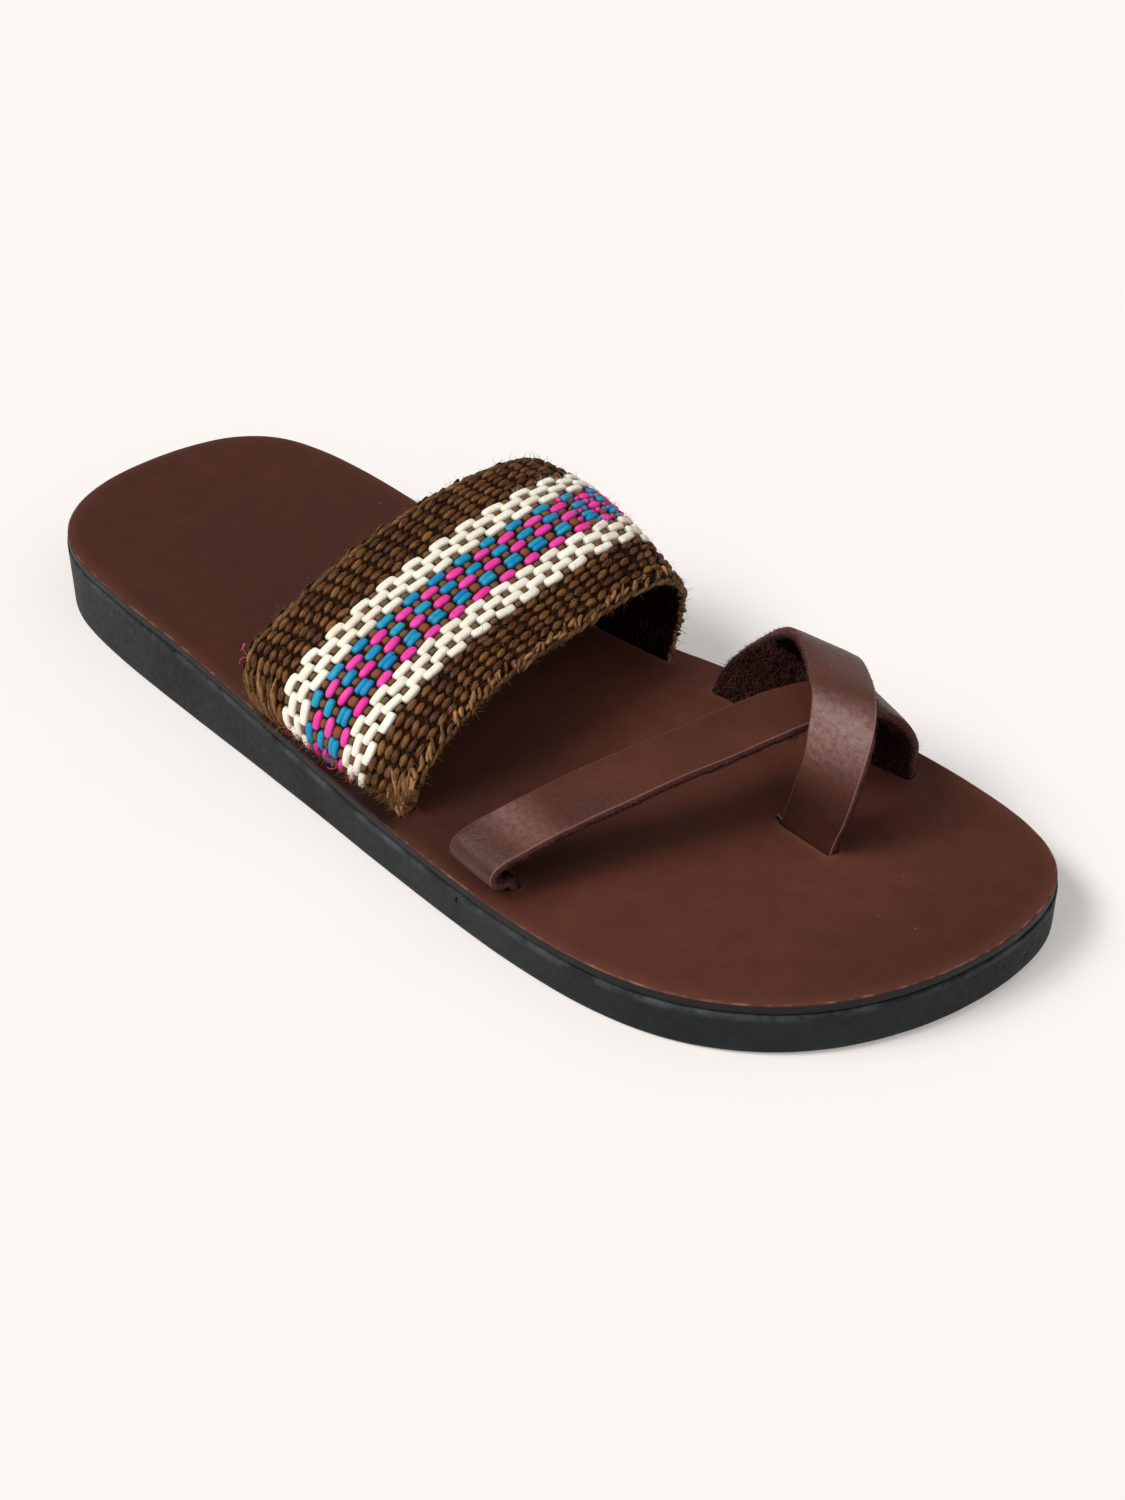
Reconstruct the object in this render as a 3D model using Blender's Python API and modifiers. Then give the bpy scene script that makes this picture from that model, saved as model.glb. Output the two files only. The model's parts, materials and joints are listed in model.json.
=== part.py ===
# Toe ring sandal, right foot, standing empty on its sole.
# +X runs heel to toe, +Y towards the big toe side, +Z up. Tables are in millimetres.
import bpy
import bmesh
import math
import numpy as np
from mathutils import Vector

for old in list(bpy.data.objects):
    bpy.data.objects.remove(old, do_unlink=True)

MM = 0.001
DATUM_X = 1.5            # the sole's middle in the tables, moved to the origin
DATUM_Y = -2.6
INSOLE_THICK = 2.6
LAYER_GAP = 0.3          # play between the footbed and the rubber
INSOLE_INSET = 0.5
RUBBER_EDGE_ROUND = 0.7
INSOLE_EDGE_ROUND = 0.35
LEATHER_THICK = 2.6
LEATHER_EDGE_ROUND = 0.35
CROSS_WIDTH = 14.4
BAND_THICK = 2.4
BAND_EDGE_ROUND = 0.5
SLOT_PLAY = 0.35
TONGUE_PLAY = 0.4
STATION_STEP = 8.0

# the sole's outline seen from above, heel tip first, then the outer side
OUTLINE = (
    # x, y
    (-137.0, 2.0),
    (-136.0, -10.5),
    (-131.8, -21.5),
    (-124.0, -30.3),
    (-112.0, -36.6),
    (-92.0, -40.8),
    (-65.0, -44.0),
    (-35.0, -47.0),
    (-5.0, -50.3),
    (25.0, -53.6),
    (55.0, -55.9),
    (78.0, -55.3),
    (96.0, -51.4),
    (111.0, -43.7),
    (123.0, -32.8),
    (132.0, -18.8),
    (137.6, -3.5),
    (140.0, 12.0),
    (138.6, 26.0),
    (132.5, 36.6),
    (121.0, 43.6),
    (104.0, 48.0),
    (82.0, 50.6),
    (58.0, 50.2),
    (34.0, 46.8),
    (12.0, 42.9),
    (-12.0, 40.6),
    (-38.0, 39.8),
    (-64.0, 41.2),
    (-88.0, 43.0),
    (-106.0, 42.8),
    (-120.0, 39.4),
    (-129.5, 31.0),
    (-135.0, 17.5),
)

# height of the footbed's top and of the sole's underside along the length
PROFILE = (
    # x, top, bottom
    (-140.0, 20.2, 0.0),
    (-120.0, 20.0, 0.0),
    (-70.0, 19.9, 0.0),
    (-50.0, 18.7, 0.25),
    (-30.0, 16.7, 0.8),
    (-10.0, 14.9, 0.8),
    (10.0, 13.3, 0.25),
    (30.0, 12.3, 0.0),
    (55.0, 12.0, 0.0),
    (80.0, 12.2, 0.0),
    (100.0, 12.9, 0.15),
    (120.0, 13.7, 0.7),
    (141.0, 14.7, 1.6),
)

# middle line of the diagonal leather strap, outer side slot first
CROSS_STRAP = (
    # x, y, z
    (44.4, -46.2, 6.0),
    (44.4, -46.2, 8.8),
    (44.4, -46.2, 12.3),
    (44.2, -47.5, 14.3),
    (43.9, -49.9, 14.9),
    (43.7, -51.9, 16.3),
    (43.9, -51.7, 18.9),
    (45.1, -48.6, 21.0),
    (47.2, -43.6, 22.6),
    (51.0, -34.6, 25.3),
    (58.6, -18.6, 29.6),
    (65.7, 0.2, 32.0),
    (72.0, 18.2, 33.7),
    (78.2, 30.6, 32.8),
    (82.2, 37.2, 28.4),
    (84.0, 40.9, 21.5),
    (84.3, 40.9, 16.0),
    (84.3, 40.5, 12.4),
    (84.3, 40.5, 8.8),
    (84.3, 40.5, 6.0),
)

# where the slanting strap folds down on the inner side, as shares of its length, and the fold's line
FOLD_START = 0.60
FOLD_FULL = 0.70
FOLD_LEAVE = 0.755
FOLD_END = 0.84
FOLD_ACROSS = (0.93, -0.36, 0.0)

# outer face of the toe loop along its two edges, toe slot first
LOOP_HEEL_EDGE = (
    # x, y, z
    (79.6, 7.8, 6.0),
    (79.6, 7.8, 9.2),
    (79.6, 7.8, 12.4),
    (80.4, 8.3, 17.9),
    (82.2, 8.3, 25.7),
    (83.4, 9.6, 34.8),
    (80.9, 14.2, 44.3),
    (72.6, 23.3, 46.9),
    (60.8, 33.1, 43.5),
    (49.2, 39.0, 33.1),
    (40.1, 39.8, 21.1),
    (36.6, 38.9, 12.4),
    (36.6, 38.9, 9.2),
    (36.6, 38.9, 6.0),
)
LOOP_TOE_EDGE = (
    # x, y, z
    (94.8, 5.8, 6.0),
    (94.8, 5.8, 9.2),
    (94.8, 5.8, 12.4),
    (95.7, 6.1, 16.9),
    (97.4, 6.6, 23.6),
    (98.4, 9.3, 34.4),
    (95.1, 17.4, 43.4),
    (83.8, 31.7, 41.5),
    (71.7, 41.6, 36.8),
    (61.3, 42.4, 24.4),
    (53.6, 39.9, 15.8),
    (52.0, 38.9, 12.2),
    (52.0, 38.9, 9.2),
    (52.0, 38.9, 6.0),
)

# outer face of the woven band on three lines across its width, outer side of the foot first
BAND_HEEL_EDGE = (
    # x, y, z
    (-31.0, -42.6, 10.6),
    (-31.0, -42.6, 14.0),
    (-31.3, -42.8, 17.2),
    (-34.2, -45.0, 22.6),
    (-35.4, -45.8, 28.6),
    (-35.6, -43.8, 33.0),
    (-35.6, -36.6, 36.0),
    (-35.4, -22.0, 41.4),
    (-34.6, -8.0, 45.1),
    (-33.4, 5.0, 47.9),
    (-32.0, 18.6, 49.6),
    (-29.8, 31.6, 50.2),
    (-27.6, 42.6, 48.4),
    (-27.0, 47.4, 41.2),
    (-26.6, 44.8, 30.4),
    (-26.0, 38.0, 20.8),
    (-26.0, 35.8, 16.2),
    (-26.0, 35.8, 13.2),
    (-26.0, 35.8, 10.2),
)
BAND_MIDDLE = (
    # x, y, z
    (-7.0, -44.4, 8.4),
    (-7.0, -44.4, 11.6),
    (-7.0, -44.5, 14.8),
    (-7.3, -45.2, 20.2),
    (-7.4, -44.4, 25.8),
    (-7.6, -41.6, 30.2),
    (-7.6, -34.6, 35.0),
    (-7.4, -20.6, 39.9),
    (-7.0, -7.6, 42.8),
    (-6.4, 5.0, 45.0),
    (-5.6, 17.6, 46.8),
    (-4.4, 30.2, 48.0),
    (-3.2, 41.8, 46.4),
    (-2.6, 47.2, 38.6),
    (-2.4, 45.2, 28.0),
    (-2.4, 39.9, 18.6),
    (-2.4, 38.2, 13.8),
    (-2.4, 38.2, 10.8),
    (-2.4, 38.2, 8.0),
)
BAND_TOE_EDGE = (
    # x, y, z
    (17.0, -46.2, 6.2),
    (17.0, -46.2, 9.4),
    (17.0, -46.2, 12.8),
    (17.8, -44.6, 17.4),
    (18.1, -42.0, 21.8),
    (18.3, -38.4, 25.2),
    (18.6, -31.2, 30.0),
    (19.0, -19.2, 34.6),
    (19.4, -7.6, 36.5),
    (19.9, 4.4, 37.2),
    (20.3, 15.6, 37.9),
    (20.7, 27.6, 38.3),
    (21.2, 38.4, 36.4),
    (21.4, 43.9, 30.6),
    (21.3, 43.6, 23.0),
    (21.1, 41.3, 16.8),
    (21.0, 40.4, 12.4),
    (21.0, 40.4, 9.2),
    (21.0, 40.4, 6.0),
)


def place(x, y, z):
    return Vector(((x - DATUM_X) * MM, (y - DATUM_Y) * MM, z * MM))


def smooth_line(table, steps, closed=False):
    """Points on a smooth curve through every row of a table."""
    rows = np.array(table, dtype=float)
    count = len(rows)
    spans = count if closed else count - 1
    points = []
    for i in range(spans):
        if closed:
            a, b, c, d = (rows[(i + k) % count] for k in (-1, 0, 1, 2))
        else:
            a = rows[max(i - 1, 0)]
            b = rows[i]
            c = rows[i + 1]
            d = rows[min(i + 2, count - 1)]
        for k in range(steps):
            t = k / steps
            points.append(0.5 * (2 * b + (c - a) * t + (2 * a - 5 * b + 4 * c - d) * t ** 2
                                 + (3 * b - a - 3 * c + d) * t ** 3))
    if not closed:
        points.append(rows[-1])
    return np.array(points)


PROFILE_LINE = smooth_line(PROFILE, 8)


def top_height(x):
    return float(np.interp(x, PROFILE_LINE[:, 0], PROFILE_LINE[:, 1]))


def bottom_height(x):
    """The underside, dead flat under the heel and the ball of the foot."""
    height = float(np.interp(x, PROFILE_LINE[:, 0], PROFILE_LINE[:, 2]))
    return height if height > 0.03 else 0.0


def inset_outline(amount):
    """The sole's outline, moved inwards by an even amount."""
    line = smooth_line(OUTLINE, 4, closed=True)
    ahead = np.roll(line, -1, axis=0) - np.roll(line, 1, axis=0)
    length = np.hypot(ahead[:, 0], ahead[:, 1])
    inward = np.column_stack((-ahead[:, 1], ahead[:, 0])) / length[:, None]
    return line + inward * amount


def make_object(name, bm, group, material):
    bmesh.ops.recalc_face_normals(bm, faces=bm.faces[:])
    mesh = bpy.data.meshes.new(name)
    bm.to_mesh(mesh)
    bm.free()
    obj = bpy.data.objects.new(name, mesh)
    group.objects.link(obj)
    if material is not None:
        mesh.materials.append(material)
    return obj


def finish_material(name, colour, roughness):
    mat = bpy.data.materials.new(name)
    mat.use_nodes = True
    shader = mat.node_tree.nodes["Principled BSDF"]
    shader.inputs["Base Color"].default_value = colour
    shader.inputs["Roughness"].default_value = roughness
    return mat


def layer(name, inset, low, high, group, material):
    """A sole layer: the outline extruded, cut at stations, and bent to the profile."""
    bm = bmesh.new()
    line = inset_outline(inset)
    verts = [bm.verts.new(place(x, y, 0.0)) for x, y in line]
    floor_face = bm.faces.new(verts)
    lifted = bmesh.ops.extrude_face_region(bm, geom=[floor_face])
    top_verts = [v for v in lifted["geom"] if isinstance(v, bmesh.types.BMVert)]
    bmesh.ops.translate(bm, verts=top_verts, vec=Vector((0.0, 0.0, 10.0 * MM)))
    x_low = line[:, 0].min()
    x_high = line[:, 0].max()
    cuts = int((x_high - x_low) / STATION_STEP)
    for i in range(1, cuts):
        middle = x_low + (x_high - x_low) * i / cuts
        choices = np.linspace(middle - 2.0, middle + 2.0, 41)
        clear = np.abs(choices[:, None] - line[None, :, 0]).min(axis=1)
        x = choices[clear.argmax()]      # a station keeps clear of the outline's own points
        geom = bm.verts[:] + bm.edges[:] + bm.faces[:]
        bmesh.ops.bisect_plane(bm, geom=geom, dist=5e-5, plane_co=place(x, 0.0, 0.0),
                               plane_no=Vector((1.0, 0.0, 0.0)))
    bmesh.ops.remove_doubles(bm, verts=bm.verts[:], dist=1e-4)
    for v in bm.verts:
        x = v.co.x / MM + DATUM_X
        if v.co.z > 5.0 * MM:
            v.co.z = high(x) * MM
        else:
            v.co.z = low(x) * MM
    return make_object(name, bm, group, material)


def round_edges(obj, width, segments, angle):
    mod = obj.modifiers.new("rounded edges", "BEVEL")
    mod.width = width * MM
    mod.segments = segments
    mod.limit_method = "ANGLE"
    mod.angle_limit = math.radians(angle)


def give_thickness(obj, thickness, offset):
    mod = obj.modifiers.new("wall", "SOLIDIFY")
    mod.thickness = thickness * MM
    mod.offset = offset
    mod.use_even_offset = True


def sheet(name, grid, group, material):
    """A surface over rows of points."""
    bm = bmesh.new()
    rows = [[bm.verts.new(place(*p)) for p in row] for row in grid]
    for a, b in zip(rows, rows[1:]):
        for i in range(len(a) - 1):
            bm.faces.new((a[i], a[i + 1], b[i + 1], b[i]))
    mesh = bpy.data.meshes.new(name)
    bm.to_mesh(mesh)
    bm.free()
    obj = bpy.data.objects.new(name, mesh)
    group.objects.link(obj)
    mesh.materials.append(material)
    return obj


def ease(value, low, high):
    """A soft step from 0 at low to 1 at high."""
    t = np.clip((value - low) / (high - low), 0.0, 1.0)
    return t * t * (3.0 - 2.0 * t)


def strap_grid(table, width, start_across, end_across, steps):
    """Rows across a strap that keeps its width while it follows its middle line."""
    line = smooth_line(table, steps)
    ahead = np.gradient(line, axis=0)
    ahead = ahead / np.linalg.norm(ahead, axis=1)[:, None]
    share = np.linspace(0.0, 1.0, len(line))[:, None]
    across = np.array(start_across) * (1.0 - share) + np.array(end_across) * share
    across = across - (across * ahead).sum(axis=1)[:, None] * ahead
    across = across / np.linalg.norm(across, axis=1)[:, None]
    right = line + across * width / 2.0
    # the inner bend folds square to the strap's run: both edges turn down at one height
    folded = ease(share, FOLD_START, FOLD_FULL) * (1.0 - ease(share, FOLD_LEAVE, FOLD_END))
    across = across * (1.0 - folded) + np.array(FOLD_ACROSS) * folded
    across = across / np.linalg.norm(across, axis=1)[:, None]
    left = right - across * width
    return [[left[i], right[i]] for i in range(len(line))]


def loop_grid(steps):
    """Rows across the toe loop, from one edge line to the other."""
    heel = smooth_line(LOOP_HEEL_EDGE, steps)
    toe = smooth_line(LOOP_TOE_EDGE, steps)
    return [[heel[i], (heel[i] + toe[i]) / 2.0, toe[i]] for i in range(len(heel))]


def band_grid(steps, columns):
    """Rows across the woven band, on a curve through its three lines."""
    heel = smooth_line(BAND_HEEL_EDGE, steps)
    middle = smooth_line(BAND_MIDDLE, steps)
    toe = smooth_line(BAND_TOE_EDGE, steps)
    grid = []
    for i in range(len(heel)):
        row = []
        for k in range(columns + 1):
            t = k / columns
            row.append(heel[i] * (1 - t) * (1 - 2 * t) + middle[i] * 4 * t * (1 - t)
                       + toe[i] * t * (2 * t - 1))
        grid.append(row)
    return grid


def slot_cutter(name, start, end, thick, low, high, group):
    """A box round a strap's end, from one end of its line to the other."""
    a = Vector((start[0], start[1], 0.0))
    b = Vector((end[0], end[1], 0.0))
    along = (b - a).normalized()
    side = Vector((-along.y, along.x, 0.0)) * (thick / 2.0 + SLOT_PLAY)
    a = a - along * SLOT_PLAY
    b = b + along * SLOT_PLAY
    bm = bmesh.new()
    corners = [place(p.x, p.y, low) for p in (a - side, b - side, b + side, a + side)]
    face = bm.faces.new([bm.verts.new(c) for c in corners])
    lifted = bmesh.ops.extrude_face_region(bm, geom=[face])
    top_verts = [v for v in lifted["geom"] if isinstance(v, bmesh.types.BMVert)]
    bmesh.ops.translate(bm, verts=top_verts, vec=Vector((0.0, 0.0, (high - low) * MM)))
    cutter = make_object(name, bm, group, None)
    cutter.hide_render = True
    cutter.display_type = "WIRE"
    return cutter


def cut(obj, cutter):
    mod = obj.modifiers.new(cutter.name, "BOOLEAN")
    mod.operation = "DIFFERENCE"
    mod.solver = "EXACT"
    mod.object = cutter


def end_line(row, wall):
    """The two ends of a strap's middle line where it stands in its slot."""
    return np.array(row[0]) + wall, np.array(row[-1]) + wall


sandal = bpy.data.collections.new("toe_ring_sandal")
cutters = bpy.data.collections.new("cutters")
bpy.context.scene.collection.children.link(sandal)
bpy.context.scene.collection.children.link(cutters)

rubber = finish_material("black_rubber", (0.045, 0.046, 0.048, 1.0), 0.65)
footbed_leather = finish_material("footbed_leather", (0.095, 0.036, 0.024, 1.0), 0.5)
strap_leather = finish_material("strap_leather", (0.10, 0.038, 0.028, 1.0), 0.42)
webbing = finish_material("woven_webbing", (0.20, 0.12, 0.06, 1.0), 0.9)

outsole = layer("outsole", 0.0, bottom_height,
                lambda x: top_height(x) - INSOLE_THICK - LAYER_GAP, sandal, rubber)
insole = layer("insole", INSOLE_INSET, lambda x: top_height(x) - INSOLE_THICK,
               top_height, sandal, footbed_leather)

round_edges(outsole, RUBBER_EDGE_ROUND, 2, 60.0)
round_edges(insole, INSOLE_EDGE_ROUND, 1, 60.0)

band_rows = band_grid(4, 8)
band = sheet("woven_band", band_rows, sandal, webbing)
give_thickness(band, BAND_THICK, -1.0)
round_edges(band, BAND_EDGE_ROUND, 2, 50.0)

cross_rows = strap_grid(CROSS_STRAP, CROSS_WIDTH, (1.0, -0.2, 0.0), (1.0, 0.02, 0.0), 5)
cross = sheet("cross_strap", cross_rows, sandal, strap_leather)
give_thickness(cross, LEATHER_THICK, 0.0)
round_edges(cross, LEATHER_EDGE_ROUND, 1, 50.0)

loop_rows = loop_grid(5)
loop = sheet("toe_loop", loop_rows, sandal, strap_leather)
give_thickness(loop, LEATHER_THICK, -1.0)
round_edges(loop, LEATHER_EDGE_ROUND, 1, 50.0)

half_band = BAND_THICK / 2.0
half_leather = LEATHER_THICK / 2.0
ENDS = (
    # name, row of the strap where it stands in the slot, step to its middle, thickness
    ("band_outer", band_rows[0], np.array((0.0, half_band, 0.0)), BAND_THICK),
    ("band_inner", band_rows[-1], np.array((0.0, -half_band, 0.0)), BAND_THICK),
    ("cross_outer", cross_rows[0], np.zeros(3), LEATHER_THICK),
    ("cross_inner", cross_rows[-1], np.zeros(3), LEATHER_THICK),
    ("loop_toe", loop_rows[0], np.array((0.0, half_leather, 0.0)), LEATHER_THICK),
    ("loop_rear", loop_rows[-1], np.array((0.0, -half_leather, 0.0)), LEATHER_THICK),
)
for name, row, step, thick in ENDS:
    start, end = end_line(row, step)
    low_end = min(start[2], end[2]) - TONGUE_PLAY
    cutter = slot_cutter(name + "_slot", start, end, thick, low_end, 40.0, cutters)
    cut(outsole, cutter)
    cut(insole, cutter)
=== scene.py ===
import json
import math
from functools import partial

import bmesh
import bpy
import numpy as np
from bpy.props import FloatProperty, FloatVectorProperty, IntProperty, PointerProperty
from mathutils import Matrix, Vector, noise
from mathutils.geometry import delaunay_2d_cdt

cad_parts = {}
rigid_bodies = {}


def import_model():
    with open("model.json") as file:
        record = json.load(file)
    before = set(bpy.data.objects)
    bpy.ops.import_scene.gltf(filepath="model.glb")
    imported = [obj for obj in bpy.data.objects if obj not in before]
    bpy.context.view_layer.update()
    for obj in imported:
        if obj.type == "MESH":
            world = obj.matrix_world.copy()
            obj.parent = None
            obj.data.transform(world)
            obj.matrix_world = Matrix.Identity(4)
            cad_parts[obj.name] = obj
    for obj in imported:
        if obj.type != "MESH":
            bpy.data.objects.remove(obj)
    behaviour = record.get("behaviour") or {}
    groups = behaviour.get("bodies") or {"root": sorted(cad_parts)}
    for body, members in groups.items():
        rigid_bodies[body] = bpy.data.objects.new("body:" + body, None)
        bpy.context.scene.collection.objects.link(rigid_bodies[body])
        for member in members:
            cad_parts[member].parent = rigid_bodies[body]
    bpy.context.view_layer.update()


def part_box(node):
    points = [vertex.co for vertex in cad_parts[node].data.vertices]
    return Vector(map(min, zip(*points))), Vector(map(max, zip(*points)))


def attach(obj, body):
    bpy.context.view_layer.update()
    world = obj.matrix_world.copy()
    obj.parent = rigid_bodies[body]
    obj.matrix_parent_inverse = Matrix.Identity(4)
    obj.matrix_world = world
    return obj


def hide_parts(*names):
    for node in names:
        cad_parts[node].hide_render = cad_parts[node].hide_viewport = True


bl_info = {
    "name": "Toe Ring Sandal",
    "version": (1, 0, 0),
    "blender": (4, 5, 0),
    "location": "View3D > Sidebar > Sandal",
    "description": "Finishes a leather and webbing toe ring sandal around its frame",
    "category": "Object",
}

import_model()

MM = 0.001
DATUM_X = 1.5            # the sole's middle in the tables, moved to the origin
DATUM_Y = -2.6
BOX_SLACK = 1.6          # how far a piece may stand out of its node's box, in mm
CURVE_STEPS = 16         # points on a curve for each row of its table
OUTLINE_STEPS = 12
PROFILE_STEPS = 8
THREAD_STEPS = 5
STRAP_ROW = 0.5          # spacing of a strap's rows along it
STRAP_SHARES = 25        # how many places across a strap its face is worked out at
FLOOR_SIZE = 6.0         # in metres
FLOOR_DROP = 0.0002      # the floor lies this far under the sole, in metres
CAMERA_PLACE = (0.3080, -0.3112, 0.3322)        # in metres
CAMERA_TILT = 52.646     # degrees up from straight down
CAMERA_TURN = 42.553
CAMERA_LENS = 54.97      # mm, for a sensor 36 mm wide
SENSOR_WIDTH = 36.0

FOOTBED_THICK = 2.6
LEATHER_THICK = 2.6
CROSS_WIDTH = 14.4
WEB_THICK = 2.4
RUBBER_GAP = 0.12        # the rubber's top lies this far under the footbed
POCKET_FLOOR = 5.6       # height of the floor of the pockets that hold the strap ends
SLOT_CORNER = 0.6        # rounding of a slot's corners
HELD_END = 7.0           # a leather strap keeps its cut shape this near its ends, in its slots
FREE_END = 12.0          # from here on it is worn
LOOP_CROWN = 54.0        # where along the toe loop it is painted paler over the crown
LOOP_CROWN_REACH = 10.0
PATTERN_SHIFT = 40.0     # keeps the two straps' grain from looking alike

# the sole's outline seen from above, heel tip first, then the outer side
OUTLINE = (
    # x, y
    (-137.0, 2.0),
    (-136.0, -10.5),
    (-131.8, -21.5),
    (-124.0, -30.3),
    (-112.0, -36.6),
    (-92.0, -40.8),
    (-65.0, -44.0),
    (-35.0, -47.0),
    (-5.0, -50.3),
    (25.0, -53.6),
    (55.0, -55.9),
    (78.0, -55.3),
    (96.0, -51.4),
    (111.0, -43.7),
    (123.0, -32.8),
    (132.0, -18.8),
    (137.6, -3.5),
    (140.0, 12.0),
    (138.6, 26.0),
    (132.5, 36.6),
    (121.0, 43.6),
    (104.0, 48.0),
    (82.0, 50.6),
    (58.0, 50.2),
    (34.0, 46.8),
    (12.0, 42.9),
    (-12.0, 40.6),
    (-38.0, 39.8),
    (-64.0, 41.2),
    (-88.0, 43.0),
    (-106.0, 42.8),
    (-120.0, 39.4),
    (-129.5, 31.0),
    (-135.0, 17.5),
)

# height of the footbed's top and of the sole's underside along the length
PROFILE = (
    # x, top, bottom
    (-140.0, 20.2, 0.0),
    (-120.0, 20.0, 0.0),
    (-70.0, 19.9, 0.0),
    (-50.0, 18.7, 0.05),
    (-30.0, 16.7, 0.15),
    (-10.0, 14.9, 0.15),
    (10.0, 13.3, 0.05),
    (30.0, 12.3, 0.0),
    (55.0, 12.0, 0.0),
    (80.0, 12.2, 0.0),
    (100.0, 12.9, 0.15),
    (120.0, 13.7, 0.7),
    (141.0, 14.7, 1.6),
)

# middle line of the diagonal leather strap, outer side slot first
CROSS_STRAP = (
    # x, y, z
    (44.4, -46.2, 6.0),
    (44.4, -46.2, 8.8),
    (44.4, -46.2, 12.3),
    (44.2, -47.5, 14.3),
    (43.9, -49.9, 14.9),
    (43.7, -51.9, 16.3),
    (43.9, -51.7, 18.9),
    (45.1, -48.6, 21.0),
    (47.2, -43.6, 22.6),
    (51.0, -34.6, 25.3),
    (58.6, -18.6, 29.6),
    (65.7, 0.2, 32.0),
    (72.0, 18.2, 33.7),
    (78.2, 30.6, 32.8),
    (82.2, 37.2, 28.4),
    (84.0, 40.9, 21.5),
    (84.3, 40.9, 16.0),
    (84.3, 40.5, 12.4),
    (84.3, 40.5, 8.8),
    (84.3, 40.5, 6.0),
)

# where the slanting strap folds down on the inner side, as shares of its length, and the fold's line
FOLD_START = 0.60
FOLD_FULL = 0.70
FOLD_LEAVE = 0.755
FOLD_END = 0.84
FOLD_ACROSS = (0.93, -0.36, 0.0)
# across the slanting strap towards the toe at its outer and at its inner end
ACROSS_OUTER = (1.0, -0.2, 0.0)
ACROSS_INNER = (1.0, 0.02, 0.0)

# outer face of the toe loop along its two edges, toe slot first
LOOP_HEEL_EDGE = (
    # x, y, z
    (79.6, 7.8, 6.0),
    (79.6, 7.8, 9.2),
    (79.6, 7.8, 12.4),
    (80.4, 8.3, 17.9),
    (82.2, 8.3, 25.7),
    (83.4, 9.6, 34.8),
    (80.9, 14.2, 44.3),
    (72.6, 23.3, 46.9),
    (60.8, 33.1, 43.5),
    (49.2, 39.0, 33.1),
    (40.1, 39.8, 21.1),
    (36.6, 38.9, 12.4),
    (36.6, 38.9, 9.2),
    (36.6, 38.9, 6.0),
)
LOOP_TOE_EDGE = (
    # x, y, z
    (94.8, 5.8, 6.0),
    (94.8, 5.8, 9.2),
    (94.8, 5.8, 12.4),
    (95.7, 6.1, 16.9),
    (97.4, 6.6, 23.6),
    (98.4, 9.3, 34.4),
    (95.1, 17.4, 43.4),
    (83.8, 31.7, 41.5),
    (71.7, 41.6, 36.8),
    (61.3, 42.4, 24.4),
    (53.6, 39.9, 15.8),
    (52.0, 38.9, 12.2),
    (52.0, 38.9, 9.2),
    (52.0, 38.9, 6.0),
)

# outer face of the woven band on three lines across its width, outer side of the foot first
BAND_HEEL_EDGE = (
    # x, y, z
    (-31.0, -42.6, 10.6),
    (-31.0, -42.6, 14.0),
    (-31.3, -42.8, 17.2),
    (-34.2, -45.0, 22.6),
    (-35.4, -45.8, 28.6),
    (-35.6, -43.8, 33.0),
    (-35.6, -36.6, 36.0),
    (-35.4, -22.0, 41.4),
    (-34.6, -8.0, 45.1),
    (-33.4, 5.0, 47.9),
    (-32.0, 18.6, 49.6),
    (-29.8, 31.6, 50.2),
    (-27.6, 42.6, 48.4),
    (-27.0, 47.4, 41.2),
    (-26.6, 44.8, 30.4),
    (-26.0, 38.0, 20.8),
    (-26.0, 35.8, 16.2),
    (-26.0, 35.8, 13.2),
    (-26.0, 35.8, 10.2),
)
BAND_MIDDLE = (
    # x, y, z
    (-7.0, -44.4, 8.4),
    (-7.0, -44.4, 11.6),
    (-7.0, -44.5, 14.8),
    (-7.3, -45.2, 20.2),
    (-7.4, -44.4, 25.8),
    (-7.6, -41.6, 30.2),
    (-7.6, -34.6, 35.0),
    (-7.4, -20.6, 39.9),
    (-7.0, -7.6, 42.8),
    (-6.4, 5.0, 45.0),
    (-5.6, 17.6, 46.8),
    (-4.4, 30.2, 48.0),
    (-3.2, 41.8, 46.4),
    (-2.6, 47.2, 38.6),
    (-2.4, 45.2, 28.0),
    (-2.4, 39.9, 18.6),
    (-2.4, 38.2, 13.8),
    (-2.4, 38.2, 10.8),
    (-2.4, 38.2, 8.0),
)
BAND_TOE_EDGE = (
    # x, y, z
    (17.0, -46.2, 6.2),
    (17.0, -46.2, 9.4),
    (17.0, -46.2, 12.8),
    (17.8, -44.6, 17.4),
    (18.1, -42.0, 21.8),
    (18.3, -38.4, 25.2),
    (18.6, -31.2, 30.0),
    (19.0, -19.2, 34.6),
    (19.4, -7.6, 36.5),
    (19.9, 4.4, 37.2),
    (20.3, 15.6, 37.9),
    (20.7, 27.6, 38.3),
    (21.2, 38.4, 36.4),
    (21.4, 43.9, 30.6),
    (21.3, 43.6, 23.0),
    (21.1, 41.3, 16.8),
    (21.0, 40.4, 12.4),
    (21.0, 40.4, 9.2),
    (21.0, 40.4, 6.0),
)

# the webbing's warp columns from its heel edge to its toe edge, one letter each
WARP_CHART = "sbbbbbbwwwwupupUpwwwwbbbbbt"
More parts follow.
